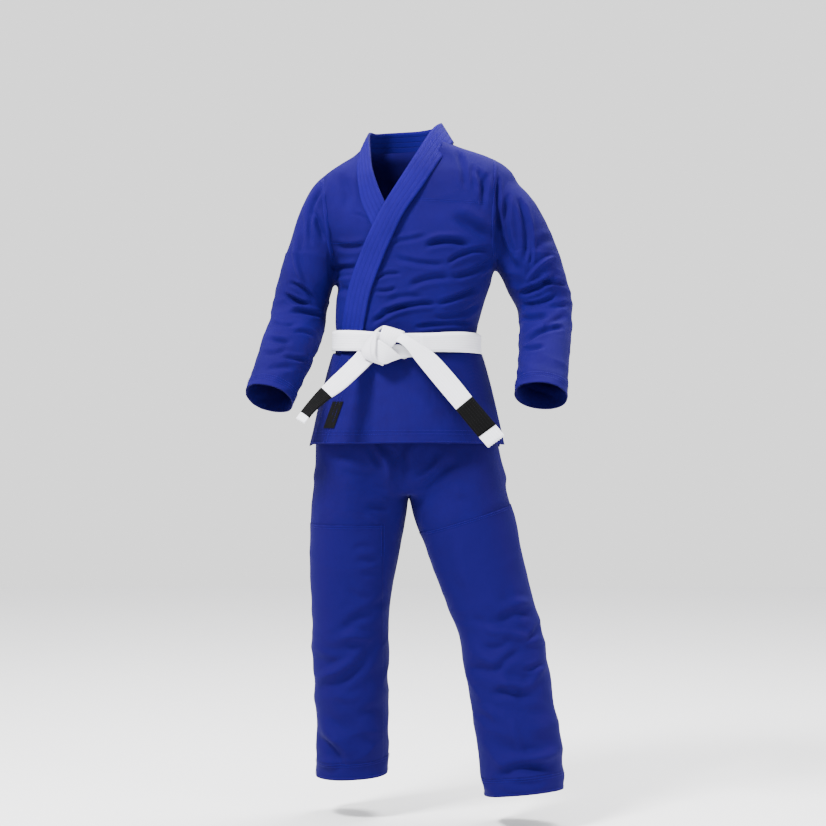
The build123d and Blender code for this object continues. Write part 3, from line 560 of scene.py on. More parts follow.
def addRow(body, thread, points, normals):
    stitchRows.setdefault((body, thread), []).append((np.array(points), np.array(normals)))


for share in lapels["rows"]:
    addRow("torso", "blue", *rowAlong(seamEdge, freeEdge, lapels["thick"], share, 10, lapelLift, 1.2))
print("lapels made")


# ---- skirt of the jacket

skirt = {
    "top": -452, "hem": -650, "middle": 3, "waist": (163, 119), "flare": (213, 147), "curve": 0.85,
    "rows": 44, "columns": 130, "cloth": 2.0, "ripple": 0.9,
}


def skirtPanel(name, topFrom, topTo, hemFrom, hemTo, offset, waves, hemDrop=0.0):
    # a panel between two side edges, given as degrees round the body from the front
    verts, faces = [], []
    rows, columns = skirt["rows"], skirt["columns"]
    for i in range(rows + 1):
        t = i / rows
        z = skirt["top"] + (skirt["hem"] - skirt["top"]) * t
        hx, hy = (a + (b - a) * t ** skirt["curve"] for a, b in zip(skirt["waist"], skirt["flare"]))
        for k in range(columns + 1):
            s = k / columns
            wide = topTo - topFrom + (hemTo - hemFrom - topTo + topFrom) * t
            turn = radians(topFrom + (hemFrom - topFrom) * t + wide * s)
            wave = sum(size * sin(count * turn + phase) for size, count, phase in waves) * t**1.4
            ripple = skirt["ripple"] * softRidges(300 * turn, 0, z, 40, 0.5, 0.2) * t
            out = offset + wave + ripple
            drop = hemDrop * t * max(0, 1 - min(s, 1 - s) * 12)
            height = z - drop + 1.5 * sin(3 * turn + 1) * t
            verts.append(Vector(((hx + out) * sin(turn) + skirt["middle"], -(hy + out) * cos(turn),
                height)) * mm)
    for i in range(rows):
        for k in range(columns):
            a = i * (columns + 1) + k
            faces.append((a, a + columns + 1, a + columns + 2, a + 1))
    return smoothShade(newPiece(name, meshFrom(name, verts, faces)))


frontWaves = [(3.0, 5, 0.6), (2.0, 9, 2.0)]
overSkirt = skirtPanel("overSkirt", -57, 82, -71, 76, 5.0, frontWaves, 2)
underSkirt = skirtPanel("underSkirt", -84, 24, -80, 26, 0.0, frontWaves, 2)
backSkirt = skirtPanel("backSkirt", 97, 263, 101, 259, 1.5, [(5.0, 6, 0.0), (2.5, 11, 1.0)], 9)


def skirtRow(piece, way, share, body, lift=1.5):
    # a row of stitches across a panel, at a share of its height, or down it, at a share of its width
    rows, columns = skirt["rows"], skirt["columns"]
    place = share * (rows if way == "across" else columns)
    whole = int(place)
    points, normals = [], []
    for step in range(1, columns if way == "across" else rows):
        if way == "across":
            a, b = whole * (columns + 1) + step, min(whole + 1, rows) * (columns + 1) + step
        else:
            a = step * (columns + 1) + whole
            b = a + 1
        va, vb = piece.data.vertices[a], piece.data.vertices[b]
        points.append((va.co.lerp(vb.co, place - whole) + va.normal * lift * mm) / mm)
        normals.append(va.normal)
    addRow(body, "blue", points, normals)


for share in (0.86, 0.9, 0.985):
    skirtRow(overSkirt, "across", share, "front_skirt")
    skirtRow(backSkirt, "across", share, "back_skirt")
for share in (0.02, 0.11, 0.13, 0.965, 0.985):
    skirtRow(overSkirt, "down", share, "front_skirt")
for share in (0.015, 0.03, 0.97, 0.985):
    skirtRow(backSkirt, "down", share, "back_skirt")
print("skirt made")


# ---- belt

belt = {
    "thick": 2.6, "half": (160.5, 126.0), "tall": 42.0, "centre": 3.5, "middle": -428.5, "squareness": 2.35,
    "rows": (-0.84, -0.56, -0.28, 0.0, 0.28, 0.56, 0.84),
    "knotThick": 3.2, "knotMiddle": -440, "knotHeight": 0.93,
    "barThick": 4.2, "barReach": 1.03,
}


def beltTurn(offset, shift, fromTurn, toTurn, count=22):
    # edges of one turn, from the knot round the wearer's right side and back to the knot
    top, low = [], []
    for i in range(count + 1):
        turn = radians(fromTurn + (toTurn - fromTurn) * i / count)
        hx, hy = belt["half"][0] + offset, belt["half"][1] + offset
        near = max(0, cos(turn)) ** 8
        wobble = 0.8 * sin(3 * turn + offset)
        z = belt["middle"] + shift - 4.0 * sin(turn) - 4 * near + 1.2 * sin(2 * turn)
        tall = belt["tall"] / 2 - 2.5 * near
        tilt = 1.2 * sin(2.0 * turn + 0.5)
        power = 2 / belt["squareness"]
        x = (hx + wobble) * abs(sin(turn)) ** power * (1 if sin(turn) > 0 else -1) + belt["centre"]
        y = -(hy + wobble) * abs(cos(turn)) ** power * (1 if cos(turn) > 0 else -1)
        top.append((x * (1 + tilt / 300), y * (1 + tilt / 300), z + tall))
        low.append((x * (1 - tilt / 300), y * (1 - tilt / 300), z - tall))
    return top, low


innerTurn = beltTurn(0.5, 2.0, -12, -362)
outerTurn = beltTurn(4.0, -1.0, -20, -352)
beltInner = band("beltInner", innerTurn[1], innerTurn[0], belt["thick"], crown=0.4)
beltOuter = band("beltOuter", outerTurn[1], outerTurn[0], belt["thick"], crown=0.4)

# the knot's folded bands: two edges each, x, y, z
knotBands = {
    "knotSide": (  # the strip's fold stands forward on the left of the knot, this is its inner bend
        [(-48, -136, -397), (-63, -146, -407), (-67, -152, -418), (-71, -155, -432), (-72, -155, -447),
            (-71, -152, -461), (-65, -146, -473), (-48, -138, -483)],
        [(-44, -152, -395), (-55, -163, -402), (-59, -168, -413), (-61, -171, -426), (-62, -172, -443),
            (-63, -169, -459), (-58, -162, -472), (-45, -152, -482)],
    ),
    "knotOuter": (  # and its slope back to the belt
        [(-50, -130, -400), (-68, -131, -414), (-78, -131, -424), (-86, -132, -438), (-92, -132, -450),
            (-89, -132, -463), (-77, -132, -472), (-51, -132, -481)],
        [(-48, -138, -397), (-63, -148, -407), (-67, -154, -418), (-71, -157, -432), (-72, -157, -447),
            (-71, -154, -461), (-65, -148, -473), (-48, -139, -483)],
    ),
    "knotTop": (  # comes up from behind, folds over the top and goes down under the front
        [(-44, -128, -410), (-44, -140, -397), (-46, -152, -395), (-51, -159, -409), (-56, -161, -424),
            (-50, -158, -446), (-44, -152, -458)],
        [(-2, -128, -420), (0, -140, -410), (-1, -151, -409), (-6, -157, -415), (-16, -159, -429),
            (-28, -157, -445), (-36, -152, -458)],
    ),
    "knotFront": (  # crosses the front from the lower right and turns back on the left
        [(4, -138, -462), (-5, -146, -465), (-18, -158, -455), (-30, -165, -444), (-42, -168, -435),
            (-54, -167, -427), (-61, -160, -426)],
        [(4, -136, -464), (-5, -144, -467), (-13, -150, -470), (-27, -156, -476), (-43, -158, -482),
            (-57, -158, -475), (-64, -154, -464)],
    ),
    "knotUnder": (  # the lower layer seen between the front and the long end
        [(-40, -144, -436), (-22, -147, -437), (-8, -145, -438), (15, -140, -460)],
        [(-40, -144, -460), (-22, -147, -468), (-4, -145, -467), (16, -139, -465)],
    ),
    "knotTail": (  # leads under the knot to the short end
        [(-60, -112, -425), (-84, -108, -436), (-98, -107, -446)],
        [(-40, -118, -450), (-50, -118, -459), (-60, -118, -466)],
    ),
}
knotPieces = []
for name, edges in knotBands.items():
    middle = belt["knotMiddle"]
    first, second = [[(x, y, (z - middle) * belt["knotHeight"] + middle) for x, y, z in edge]
        for edge in edges]
    crown = {"knotFront": 3.0, "knotTop": 0.8}.get(name, 0.4)
    knotPieces.append(band(name, first, second, belt["knotThick"], steps=8, across=10, crown=crown))
    for share in belt["rows"]:
        points, normals = rowAlong(first, second, belt["knotThick"], share, 8, None, crown)
        if np.mean(normals[:, 1]) > 0:
            points, normals = rowAlong(first, second, belt["knotThick"], share, 8, None, crown, -1)
        addRow("torso", "white", points, normals)

tails = {
    "left": {  # the end on the wearer's left, hanging in front of the skirt
        "upper": [(-5, -158, -413), (9, -164, -421), (29, -167, -434), (64, -167, -457),
            (106, -168, -502), (144, -171, -549), (182, -174, -594), (214, -177, -632)],
        "lower": [(-19, -160, -431), (-9, -166, -435), (5, -169, -448), (28, -169, -478),
            (68, -170, -527), (110, -173, -577), (146, -177, -621), (178, -180, -658)],
        "bar": (0.71, 0.915),
    },
    "right": {
        "upper": [(-98, -106, -446), (-112, -122, -463), (-134, -148, -486), (-158, -171, -510),
            (-184, -194, -538), (-208, -216, -568), (-228, -236, -596)],
        "lower": [(-60, -117, -466), (-76, -136, -482), (-100, -158, -506), (-130, -182, -534),
            (-163, -208, -557), (-191, -232, -582), (-209, -256, -606)],
        "bar": (0.62, 0.93),
    },
}
tailPieces = {}
for side, tail in tails.items():
    body = f"{side}_belt_end"
    first, second = (tail["lower"], tail["upper"]) if side == "left" else (tail["upper"], tail["lower"])
    tailPieces[side] = band(f"{side}Tail", first, second, belt["thick"], steps=8, across=8, crown=0.5)
    rows = len(smoothRows(tail["upper"], 8))
    low, high = int(tail["bar"][0] * rows), int(tail["bar"][1] * rows)
    a, b = smoothRows(first, 8)[low:high], smoothRows(second, 8)[low:high]
    middle, reach = (a + b) / 2, (b - a) / 2 * belt["barReach"]
    tailPieces[side + "Bar"] = band(f"{side}RankBar", middle - reach, middle + reach, belt["barThick"],
        steps=1, across=8, crown=0.5)
    for face in (1, -1):
        for share in belt["rows"]:
            points, normals = rowAlong(first, second, belt["thick"], share, 8, None, 0.5 * face, face)
            addRow(body, "white", points[:low], normals[:low])
            addRow(body, "white", points[high:], normals[high:])
            points, normals = rowAlong(first, second, belt["barThick"], share, 8, None, 0.5 * face, face)
            addRow(body, "black", points[low:high], normals[low:high])
for edges in (innerTurn, outerTurn):
    for share in belt["rows"]:
        addRow("torso", "white", *rowAlong(edges[1], edges[0], belt["thick"], share, crown=0.4))
print("belt made")


# ---- cutting the cloth into the pieces that move

arms = {
    # armhole: a point on it, the way out of it, and how far the cloth takes to follow the arm
    "left": {"root": (202, 0, -95), "way": (0.397, 0, -0.918), "hole": (205, -262), "out": (1, 0),
        "follow": 36,
             "elbow": (316, 15, -358), "fore": (-0.095, -0.629, -0.771)},
    "right": {"root": (-165, 0, -95), "way": (-0.25, 0, -0.968), "hole": (-152, -295),
        "out": (-0.988, -0.155),
              "follow": 20, "elbow": (-237, 15, -372), "fore": (-0.225, -0.616, -0.755)},
}
legs = {
    "left": {"sign": 1, "knee": (186, -21, -982), "thigh": (0.268, -0.07, -0.961),
        "shin": (0.159, -0.105, -0.982)},
    "right": {"sign": -1, "knee": (-121, 15, -989), "thigh": (-0.07, 0.052, -0.996),
        "shin": (-0.009, 0.105, -0.994)},
}
crotchX = 8.0
elbowSplit = 230.0  # down the arm from the shoulder
kneeSplit = 85.0  # above the knee
hipWay = (0.6, -0.8)  # out and down, square to the hip's slanting seam
hipSplit = 645.0  # that way from the frame's middle
hipBlend = (654.0, 754.0)
elbowBlend, kneeBlend = 75.0, 80.0  # how far to each side of the joint the cloth bends


def pastArmhole(c, arm):
    return (c.x - arm["hole"][0]) * arm["out"][0] + (c.z - arm["hole"][1]) * arm["out"][1]


def downArm(c, arm):
    return (c - Vector(arm["root"])).dot(Vector(arm["way"]))


def inSleeve(c, side):
    arm = arms[side]
    if side == "left":
        return pastArmhole(c, arm) > 0
    return pastArmhole(c, arm) > 0 if c.z > -295 else c.x < -156


def pastHip(c, sign):
    return hipWay[0] * (crotchX + (c.x - crotchX) * sign) + hipWay[1] * c.z


def aboveKnee(c, leg):
    return (Vector(leg["knee"]) - c).dot(Vector(leg["thigh"]))


def marked(piece):
    # keeps the smooth normals and the places of the whole cloth on every part cut from it
    mesh = piece.data
    count = len(mesh.vertices)
    values = np.empty(count * 3)
    mesh.vertices.foreach_get("normal", values)
    mesh.attributes.new("wholeNormal", "FLOAT_VECTOR", "POINT").data.foreach_set("vector", values)
    mesh.vertices.foreach_get("co", values)
    mesh.attributes.new("clothPlace", "FLOAT_VECTOR", "POINT").data.foreach_set("vector", values)
    return piece


def withCloth(piece, thick):
    wall = piece.modifiers.new("cloth", "SOLIDIFY")
    wall.thickness = thick * mm
    wall.offset = -1
    wall.use_even_offset = False
    return applied(piece)


def wholeNormals(piece):
    mesh = piece.data
    values, outside, place = (np.empty(len(mesh.vertices) * 3) for _ in range(3))
    mesh.attributes["wholeNormal"].data.foreach_get("vector", values)
    mesh.attributes["clothPlace"].data.foreach_get("vector", outside)
    mesh.vertices.foreach_get("co", place)
    values = values.reshape(-1, 3)
    inner = np.linalg.norm((outside - place).reshape(-1, 3), axis=1) > 0.8 * mm
    values[inner] *= -1  # the cloth's inner face
    for polygon in mesh.polygons:
        polygon.use_smooth = True
    mesh.normals_split_custom_set_from_vertices([tuple(v) for v in values])
    mesh.attributes.remove(mesh.attributes["wholeNormal"])
    return piece


def cutOpening():
    bm = bmesh.new()
    bm.from_mesh(jacketSkin.data)
    gone = []
    for face in bm.faces:
        c = face.calc_center_median() / mm
        if c.y < 0 and insideOutline(c.x, c.z, vOpening):
            gone.append(face)
    bmesh.ops.delete(bm, geom=gone, context="FACES")
    bm.to_mesh(jacketSkin.data)
    bm.free()


def overlay(source, name, test, planes, lift, thick):
    # a second layer of cloth sewn on: a copy of a region, cut straight by planes and raised
    piece = keepFaces(source, name, test)
    for point, normal in planes:
        cutAway(piece, point, normal)
    mesh = piece.data
    mesh.update()
    moved = [v.co + v.normal * lift * mm for v in mesh.vertices]
    for v, place in zip(mesh.vertices, moved):
        v.co = place
    mesh.update()
    wall = piece.modifiers.new("cloth", "SOLIDIFY")
    wall.thickness = thick * mm
    wall.offset = 0
    applied(piece)
    return smoothShade(piece)


cutOpening()
cuffs = {
    "left": {"test": lambda c: c.x > 225 and c.z < -470, "plane": ((296, -112, -530), (0.12, 0.46, 0.88))},
    "right": {"test": lambda c: c.x < -200 and c.z < -470, "plane": ((-285, -114, -537), (0.22, 0.46, 0.86))},
}
hems = {
    "left": {"test": lambda c: c.x > 60 and c.z < -1330, "plane": ((256, -62, -1374), (-0.1, 0.08, 1))},
    "right": {"test": lambda c: c.x < 60 and c.z < -1320, "plane": ((-121, 58, -1354), (-0.05, -0.05, 1))},
}
kneePatches = {
    "left": {
        "test": lambda c: c.x > 8 and -1395 < c.z < -770,
        "planes": [((140, 0, -814.8), (-0.298, 0, 0.955)), ((0, 10, 0), (0, 1, 0)),
            ((256, -62, -1374), (0.1, -0.08, -1))],
    },
    "right": {
        "test": lambda c: c.x < 5 and -1375 < c.z < -770,
        "planes": [((0, 0, -828), (0, 0, 1)), ((0, 30, 0), (0, 1, 0)), ((-121, 58, -1354), (0.05, 0.05, -1)),
                   ((-49, 0, -828), (1, 0, 0.0))],
    },
}
trims = {}
for side in ("left", "right"):
    trims[f"{side}CuffBand"] = overlay(jacketSkin, f"{side}CuffBand", cuffs[side]["test"],
        [cuffs[side]["plane"]], 0.6, 1.4)
    trims[f"{side}HemBand"] = overlay(trouserSkin, f"{side}HemBand", hems[side]["test"],
        [hems[side]["plane"]], 0.5, 1.4)
    trims[f"{side}KneePatch"] = overlay(
        trouserSkin, f"{side}KneePatch", kneePatches[side]["test"], kneePatches[side]["planes"], 0.7, 1.2
    )
print("trims made")


# ---- rows of stitches across the cloth

trouserSurface = surfaceOf(trouserSkin)


def rowRound(surface, centre, normal, gap, reach, count=110):
    # a row round a sleeve or leg, in a plane
    centre, normal = Vector(centre) * mm, Vector(normal).normalized()
    across = (Vector((1, 0, 0)) - normal * normal.x).normalized()
    deep = normal.cross(across)
    points, normals = [], []
    for i in range(count + 1):
        turn = radians(360 * i / count)
        way = across * cos(turn) + deep * sin(turn)
        place, facing, _, _ = surface.ray_cast(centre + way * reach, -way)
        if place is None or (place - centre).dot(way) < 0:
            continue
        facing = facing if facing.dot(way) > 0 else -facing
        points.append(place / mm + facing * gap)
        normals.append(facing)
    return points, normals


def rowAcross(surface, route, gap=0.5, step=5.0, behind=False):
    # a row that follows the cloth under points chosen in the front view
    points, normals = [], []
    for (x0, z0), (x1, z1) in zip(route, route[1:]):
        parts = max(2, int(np.hypot(x1 - x0, z1 - z0) / step))
        for i in range(parts):
            x, z = x0 + (x1 - x0) * i / parts, z0 + (z1 - z0) * i / parts
            y, way = (900, -1) if behind else (-900, 1)
            place, facing, _, _ = surface.ray_cast(Vector((x, y, z)) * mm, Vector((0, way, 0)))
            if place is None:
                continue
            facing = facing if facing.y * way < 0 else -facing
            points.append(place / mm + facing * gap)
            normals.append(facing)
    return points, normals


for side, sign in (("left", 1), ("right", -1)):
    point, normal = cuffs[side]["plane"]
    away = Vector(normal).normalized()
    for back in (2.5, 8.0, 14.0):
        addRow(f"{side}_forearm", "blue",
            *rowRound(jacketSurface, Vector(point) - away * (back - 0.5), normal, 2.2, reach=0.09))
    point, normal = hems[side]["plane"]
    away = Vector(normal).normalized()
    for back in (2.5, 7.5, 34.0):
        addRow(f"{side}_shin", "blue",
            *rowRound(trouserSurface, Vector(point) - away * (back - 0.5), normal, 2.2, reach=0.12))
kneeRows = {
    "left": [[(50, -844), (140, -816.5), (226, -790)], [(50, -848), (140, -820.5), (227, -794)]],
    "right": [[(-46, -831), (-120, -831), (-202, -831)], [(-46, -835.5), (-120, -835.5), (-202, -835.5)]],
}
for side, rows in kneeRows.items():
    for row in rows:
        addRow(f"{side}_thigh", "blue", *rowAcross(trouserSurface, row, 1.9))
addRow("right_thigh", "blue", *rowAcross(trouserSurface, [(-52, -828), (-52, -900)], 1.9))
addRow("right_thigh", "blue", *rowAcross(trouserSurface, [(-45, -828), (-45, -900)], 1.0))
yokeRows = [[(24, -118), (180, -124)], [(24, -122), (180, -128)], [(-160, -212), (-76, -216)]]
for row in yokeRows:
    addRow("torso", "blue", *rowAcross(jacketSurface, row))
holeRows = {
    "left": [[(196, 0), (203, -40), (200, -100), (196, -160), (196, -215), (201, -250)],
        [(190, 0), (197, -42), (194, -100), (190, -160), (190, -215), (195, -248)]],
    "right": [[(-186, -60), (-181, -110), (-175, -160), (-169, -210), (-160, -255)],
        [(-180, -60), (-175, -110), (-169, -160), (-163, -210), (-155, -250)]],
}


def tapeAlong(name, route, wide, behind=False):
    # a narrow raised fold of cloth where two panels are sewn together
    surface = trouserSurface if route[0][1] < -480 else jacketSurface
    points, normals = rowAcross(surface, route, 0.3, 8.0, behind)
    points, normals = np.array([tuple(p) for p in points]), np.array([tuple(n) for n in normals])
    across = np.cross(np.gradient(points, axis=0), normals)
    across *= wide / 2 / np.linalg.norm(across, axis=1, keepdims=True)
    return band(name, points - across, points + across, 1.1, steps=1, across=2, crown=0.2)


tapes = []
for side, rows in holeRows.items():
    middle = [((a[0] + b[0]) / 2, (a[1] + b[1]) / 2) for a, b in zip(*rows)]
    tapes.append(tapeAlong(f"{side}ArmholeSeam", middle, 9))
    tapes.append(tapeAlong(f"{side}ArmholeSeamBehind", middle, 9, True))
tapes.append(tapeAlong("backYokeSeam", [(-150, -150), (0, -154), (180, -150)], 8, True))
tapes.append(tapeAlong("backSeam", [(5, -24), (4, -200), (2, -395)], 8, True))
for side, rows in holeRows.items():
    for row in rows:
        addRow("torso", "blue", *rowAcross(jacketSurface, row))
        addRow("torso", "blue", *rowAcross(jacketSurface, row, behind=True))
for height in (-148, -152):
    addRow("torso", "blue",
        *rowAcross(jacketSurface, [(-150, height), (0, height - 4), (180, height)], behind=True))
for x0, x1 in ((-1.5, -4), (2.5, 0)):
    addRow("torso", "blue", *rowAcross(jacketSurface, [(x0 + 6, -20), (x1 + 5, -395)], behind=True))


# ---- materials

def nodeGroup(name, inputs, outputs):
    tree = bpy.data.node_groups.new(name, "ShaderNodeTree")
    for label, kind, value in inputs:
        socket = tree.interface.new_socket(label, in_out="INPUT", socket_type=kind)
        if value is not None:
            socket.default_value = value
    for label, kind in outputs:
        tree.interface.new_socket(label, in_out="OUTPUT", socket_type=kind)
    return tree, tree.nodes.new("NodeGroupInput"), tree.nodes.new("NodeGroupOutput")


def mathNode(tree, operation, first, second=None, third=None):
    node = tree.nodes.new("ShaderNodeMath")
    node.operation = operation
    for socket, value in zip(node.inputs, (first, second, third)):
        if value is None:
            continue
        if isinstance(value, (int, float)):
            socket.default_value = value
        else:
            tree.links.new(value, socket)
    return node.outputs[0]


def weaveGroup():
    # woven threads seen square on from each side, blended by the way the cloth faces
    tree, into, out = nodeGroup(
        "weave",
        [("Place", "NodeSocketVector", None), ("Threads", "NodeSocketFloat", 400.0),
            ("Twill", "NodeSocketFloat", 0.0)],
        [("Height", "NodeSocketFloat"), ("Tone", "NodeSocketFloat")],
    )
    split = tree.nodes.new("ShaderNodeSeparateXYZ")
    tree.links.new(into.outputs["Place"], split.inputs[0])
    geometry = tree.nodes.new("ShaderNodeNewGeometry")
    facing = tree.nodes.new("ShaderNodeSeparateXYZ")
    tree.links.new(geometry.outputs["Normal"], facing.inputs[0])
    turns = mathNode(tree, "MULTIPLY", into.outputs["Threads"], 2 * pi)
    waves = []
    for axis in range(3):
        waves.append(mathNode(tree, "MULTIPLY", split.outputs[axis], turns))
    total, weights = None, None
    for normalAxis, (a, b) in enumerate(((1, 2), (0, 2), (0, 1))):
        slant = mathNode(tree, "MULTIPLY", waves[b], into.outputs["Twill"])
        first = mathNode(tree, "SINE", mathNode(tree, "ADD", waves[a], slant))
        second = mathNode(tree, "SINE", waves[b])
        cell = mathNode(tree, "MULTIPLY", first, second)
        weight = mathNode(tree, "POWER", mathNode(tree, "ABSOLUTE", facing.outputs[normalAxis]), 4.0)
        part = mathNode(tree, "MULTIPLY", cell, weight)
        total = part if total is None else mathNode(tree, "ADD", total, part)
        weights = weight if weights is None else mathNode(tree, "ADD", weights, weight)
    height = mathNode(tree, "DIVIDE", total, mathNode(tree, "ADD", weights, 0.001))
    tree.links.new(height, out.inputs["Height"])
    tree.links.new(mathNode(tree, "MULTIPLY_ADD", height, 0.5, 0.5), out.inputs["Tone"])
    return tree


def wearGroup():
    # cloudy fading and the fine nap of washed cotton
    tree, into, out = nodeGroup(
        "washedCotton",
        [("Place", "NodeSocketVector", None), ("Patches", "NodeSocketFloat", 14.0),
            ("Nap", "NodeSocketFloat", 900.0)],
        [("Fade", "NodeSocketFloat"), ("Nap", "NodeSocketFloat")],
    )
    for label, socket, detail in (("Fade", "Patches", 5.0), ("Nap", "Nap", 3.0)):
        noiseNode = tree.nodes.new("ShaderNodeTexNoise")
        noiseNode.inputs["Detail"].default_value = detail
        noiseNode.inputs["Roughness"].default_value = 0.6
        tree.links.new(into.outputs["Place"], noiseNode.inputs["Vector"])
        tree.links.new(into.outputs[socket], noiseNode.inputs["Scale"])
        tree.links.new(noiseNode.outputs["Fac"], out.inputs[label])
    return tree



def rowsGroup():
    # sewn rows along a strip: a thin sunk line at each edge of its equal lanes, used as bump and as painted
    # shade darkening the colour
    tree, into, out = nodeGroup(
        "sewnRows", [("Across", "NodeSocketFloat", None), ("Lanes", "NodeSocketFloat", 8.0)],
        [("Line", "NodeSocketFloat")]
    )
    lane = mathNode(tree, "FRACT", mathNode(tree, "MULTIPLY", into.outputs["Across"], into.outputs["Lanes"]))
    away = mathNode(tree, "ABSOLUTE", mathNode(tree, "MULTIPLY_ADD", lane, 2.0, -1.0))
    tree.links.new(mathNode(tree, "POWER", away, 9.0), out.inputs["Line"])
    return tree


weave, wear, sewnLanes = weaveGroup(), wearGroup(), rowsGroup()


def clothMaterial(name, look):
    material = bpy.data.materials.new(name)
    material.use_nodes = True
    tree = material.node_tree
    shader = tree.nodes["Principled BSDF"]
    if look.get("attribute"):
        source = tree.nodes.new("ShaderNodeAttribute")
        source.attribute_name = "clothPlace"
        place = source.outputs["Vector"]
    else:
        place = tree.nodes.new("ShaderNodeTexCoord").outputs["Object"]
    threads = tree.nodes.new("ShaderNodeGroup")
    threads.node_tree = weave
    threads.inputs["Threads"].default_value = look["threads"]
    threads.inputs["Twill"].default_value = look["twill"]
    tree.links.new(place, threads.inputs["Place"])
    washed = tree.nodes.new("ShaderNodeGroup")
    washed.node_tree = wear
    washed.inputs["Patches"].default_value = look["patches"]
    washed.inputs["Nap"].default_value = look["nap"]
    tree.links.new(place, washed.inputs["Place"])
    fade = tree.nodes.new("ShaderNodeMix")
    fade.data_type = "RGBA"
    fade.inputs["A"].default_value = (*look["dark"], 1)
    fade.inputs["B"].default_value = (*look["light"], 1)
    cloudy = mathNode(tree, "MULTIPLY_ADD", washed.outputs["Fade"], 0.9, -0.15)
    tone = mathNode(tree, "MULTIPLY_ADD", threads.outputs["Tone"], 0.35, cloudy)
    tree.links.new(tone, fade.inputs["Factor"])
    height = mathNode(tree, "MULTIPLY_ADD", washed.outputs["Nap"], 0.5, threads.outputs["Height"])
    if look.get("lanes"):
        lines = tree.nodes.new("ShaderNodeGroup")
        lines.node_tree = sewnLanes
        lines.inputs["Lanes"].default_value = look["lanes"]
        across = tree.nodes.new("ShaderNodeUVMap")
        across.uv_map = "rows"
        split = tree.nodes.new("ShaderNodeSeparateXYZ")
        tree.links.new(across.outputs["UV"], split.inputs[0])
        tree.links.new(split.outputs["Y"], lines.inputs["Across"])
        # the lines darken the base colour: painted shade in the sunk rows, on top of their real bump below
        shade = tree.nodes.new("ShaderNodeMix")
        shade.data_type = "RGBA"
        shade.blend_type = "MULTIPLY"
        shade.inputs["B"].default_value = (look["paintedRowShade"],) * 3 + (1,)
        tree.links.new(lines.outputs["Line"], shade.inputs["Factor"])
        tree.links.new(fade.outputs["Result"], shade.inputs["A"])
        tree.links.new(shade.outputs["Result"], shader.inputs["Base Color"])
        height = mathNode(tree, "MULTIPLY_ADD", lines.outputs["Line"], -look["lineDepth"], height)
    else:
        tree.links.new(fade.outputs["Result"], shader.inputs["Base Color"])
    rough = mathNode(tree, "MULTIPLY_ADD", washed.outputs["Nap"], 0.2, look["rough"] - 0.1)
    tree.links.new(rough, shader.inputs["Roughness"])
    bump = tree.nodes.new("ShaderNodeBump")
    bump.inputs["Strength"].default_value = look["bump"]
    bump.inputs["Distance"].default_value = look["deep"] * mm
    tree.links.new(height, bump.inputs["Height"])
    tree.links.new(bump.outputs["Normal"], shader.inputs["Normal"])
    shader.inputs["Sheen Weight"].default_value = look["sheen"]
    shader.inputs["Sheen Roughness"].default_value = 0.45
    shader.inputs["Sheen Tint"].default_value = (*look["sheenTint"], 1)
    shader.inputs["Specular IOR Level"].default_value = look["specular"]
    return material


dull = {"sheen": 0.03, "specular": 0.07}
blues = {**dull, "dark": (0.0024, 0.0001, 0.036), "light": (0.006, 0.0004, 0.09),
    "sheenTint": (0.1, 0.1, 1.0)}
strapLook = {**dull, "threads": 600, "twill": 0.8, "patches": 16, "nap": 900, "bump": 0.4, "deep": 0.35}
threadLook = {
    **dull, "threads": 1500, "twill": 1.0, "patches": 30, "nap": 1500, "rough": 0.6, "bump": 0.3, "deep": 0.2,
    "sheenTint": (1, 1, 1),
}
looks = {
    "jacketCotton": {
        **blues, "threads": 330, "twill": 0.0, "patches": 9, "nap": 700, "rough": 0.82, "bump": 0.6,
        "deep": 0.5,
        "attribute": True,
    },
    "trimCotton": {
        **blues, "threads": 420, "twill": 0.5, "patches": 11, "nap": 800, "rough": 0.8, "bump": 0.5,
        "deep": 0.4,
    },
    "trouserTwill": {
        **blues, "dark": (0.002, 0.0001, 0.03), "light": (0.0052, 0.0003, 0.078), "threads": 520,
        "twill": 0.9,
        "patches": 8, "nap": 900, "rough": 0.84, "bump": 0.4, "deep": 0.35, "attribute": True,
    },
    "lapelTwill": {
        **blues, "dark": (0.0034, 0.0002, 0.056), "light": (0.0084, 0.0006, 0.13), "threads": 480,
        "twill": 1.0,
        "patches": 12, "nap": 800, "rough": 0.78, "bump": 0.45, "deep": 0.35,
        # the rows' darker tone is painted shade in the sunk rows
        "lanes": 5, "paintedRowShade": 0.6, "lineDepth": 4,
    },
    "blueThread": {
        **threadLook, **blues, "dark": (0.006, 0.0005, 0.09), "light": (0.014, 0.002, 0.2), "rough": 0.55,
    },
    "beltCotton": {
        **strapLook, "dark": (0.69, 0.69, 0.75), "light": (0.84, 0.84, 0.9), "sheenTint": (1, 1, 1),
        "rough": 0.8,
        # the rows' darker tone is painted shade in the sunk rows
        "lanes": 8, "paintedRowShade": 0.8, "lineDepth": 4,
    },
    "whiteThread": {**threadLook, "dark": (0.68, 0.68, 0.7), "light": (0.86, 0.86, 0.88)},
    "barCotton": {
        **strapLook, "dark": (0.0008, 0.0008, 0.0009), "light": (0.002, 0.002, 0.0022),
        "sheenTint": (0.6, 0.6, 0.7),
        "rough": 0.82,
    },
    "blackThread": {**threadLook, "dark": (0.004, 0.004, 0.0045), "light": (0.01, 0.01, 0.011)},
}
materials = {name: clothMaterial(name, look) for name, look in looks.items()}


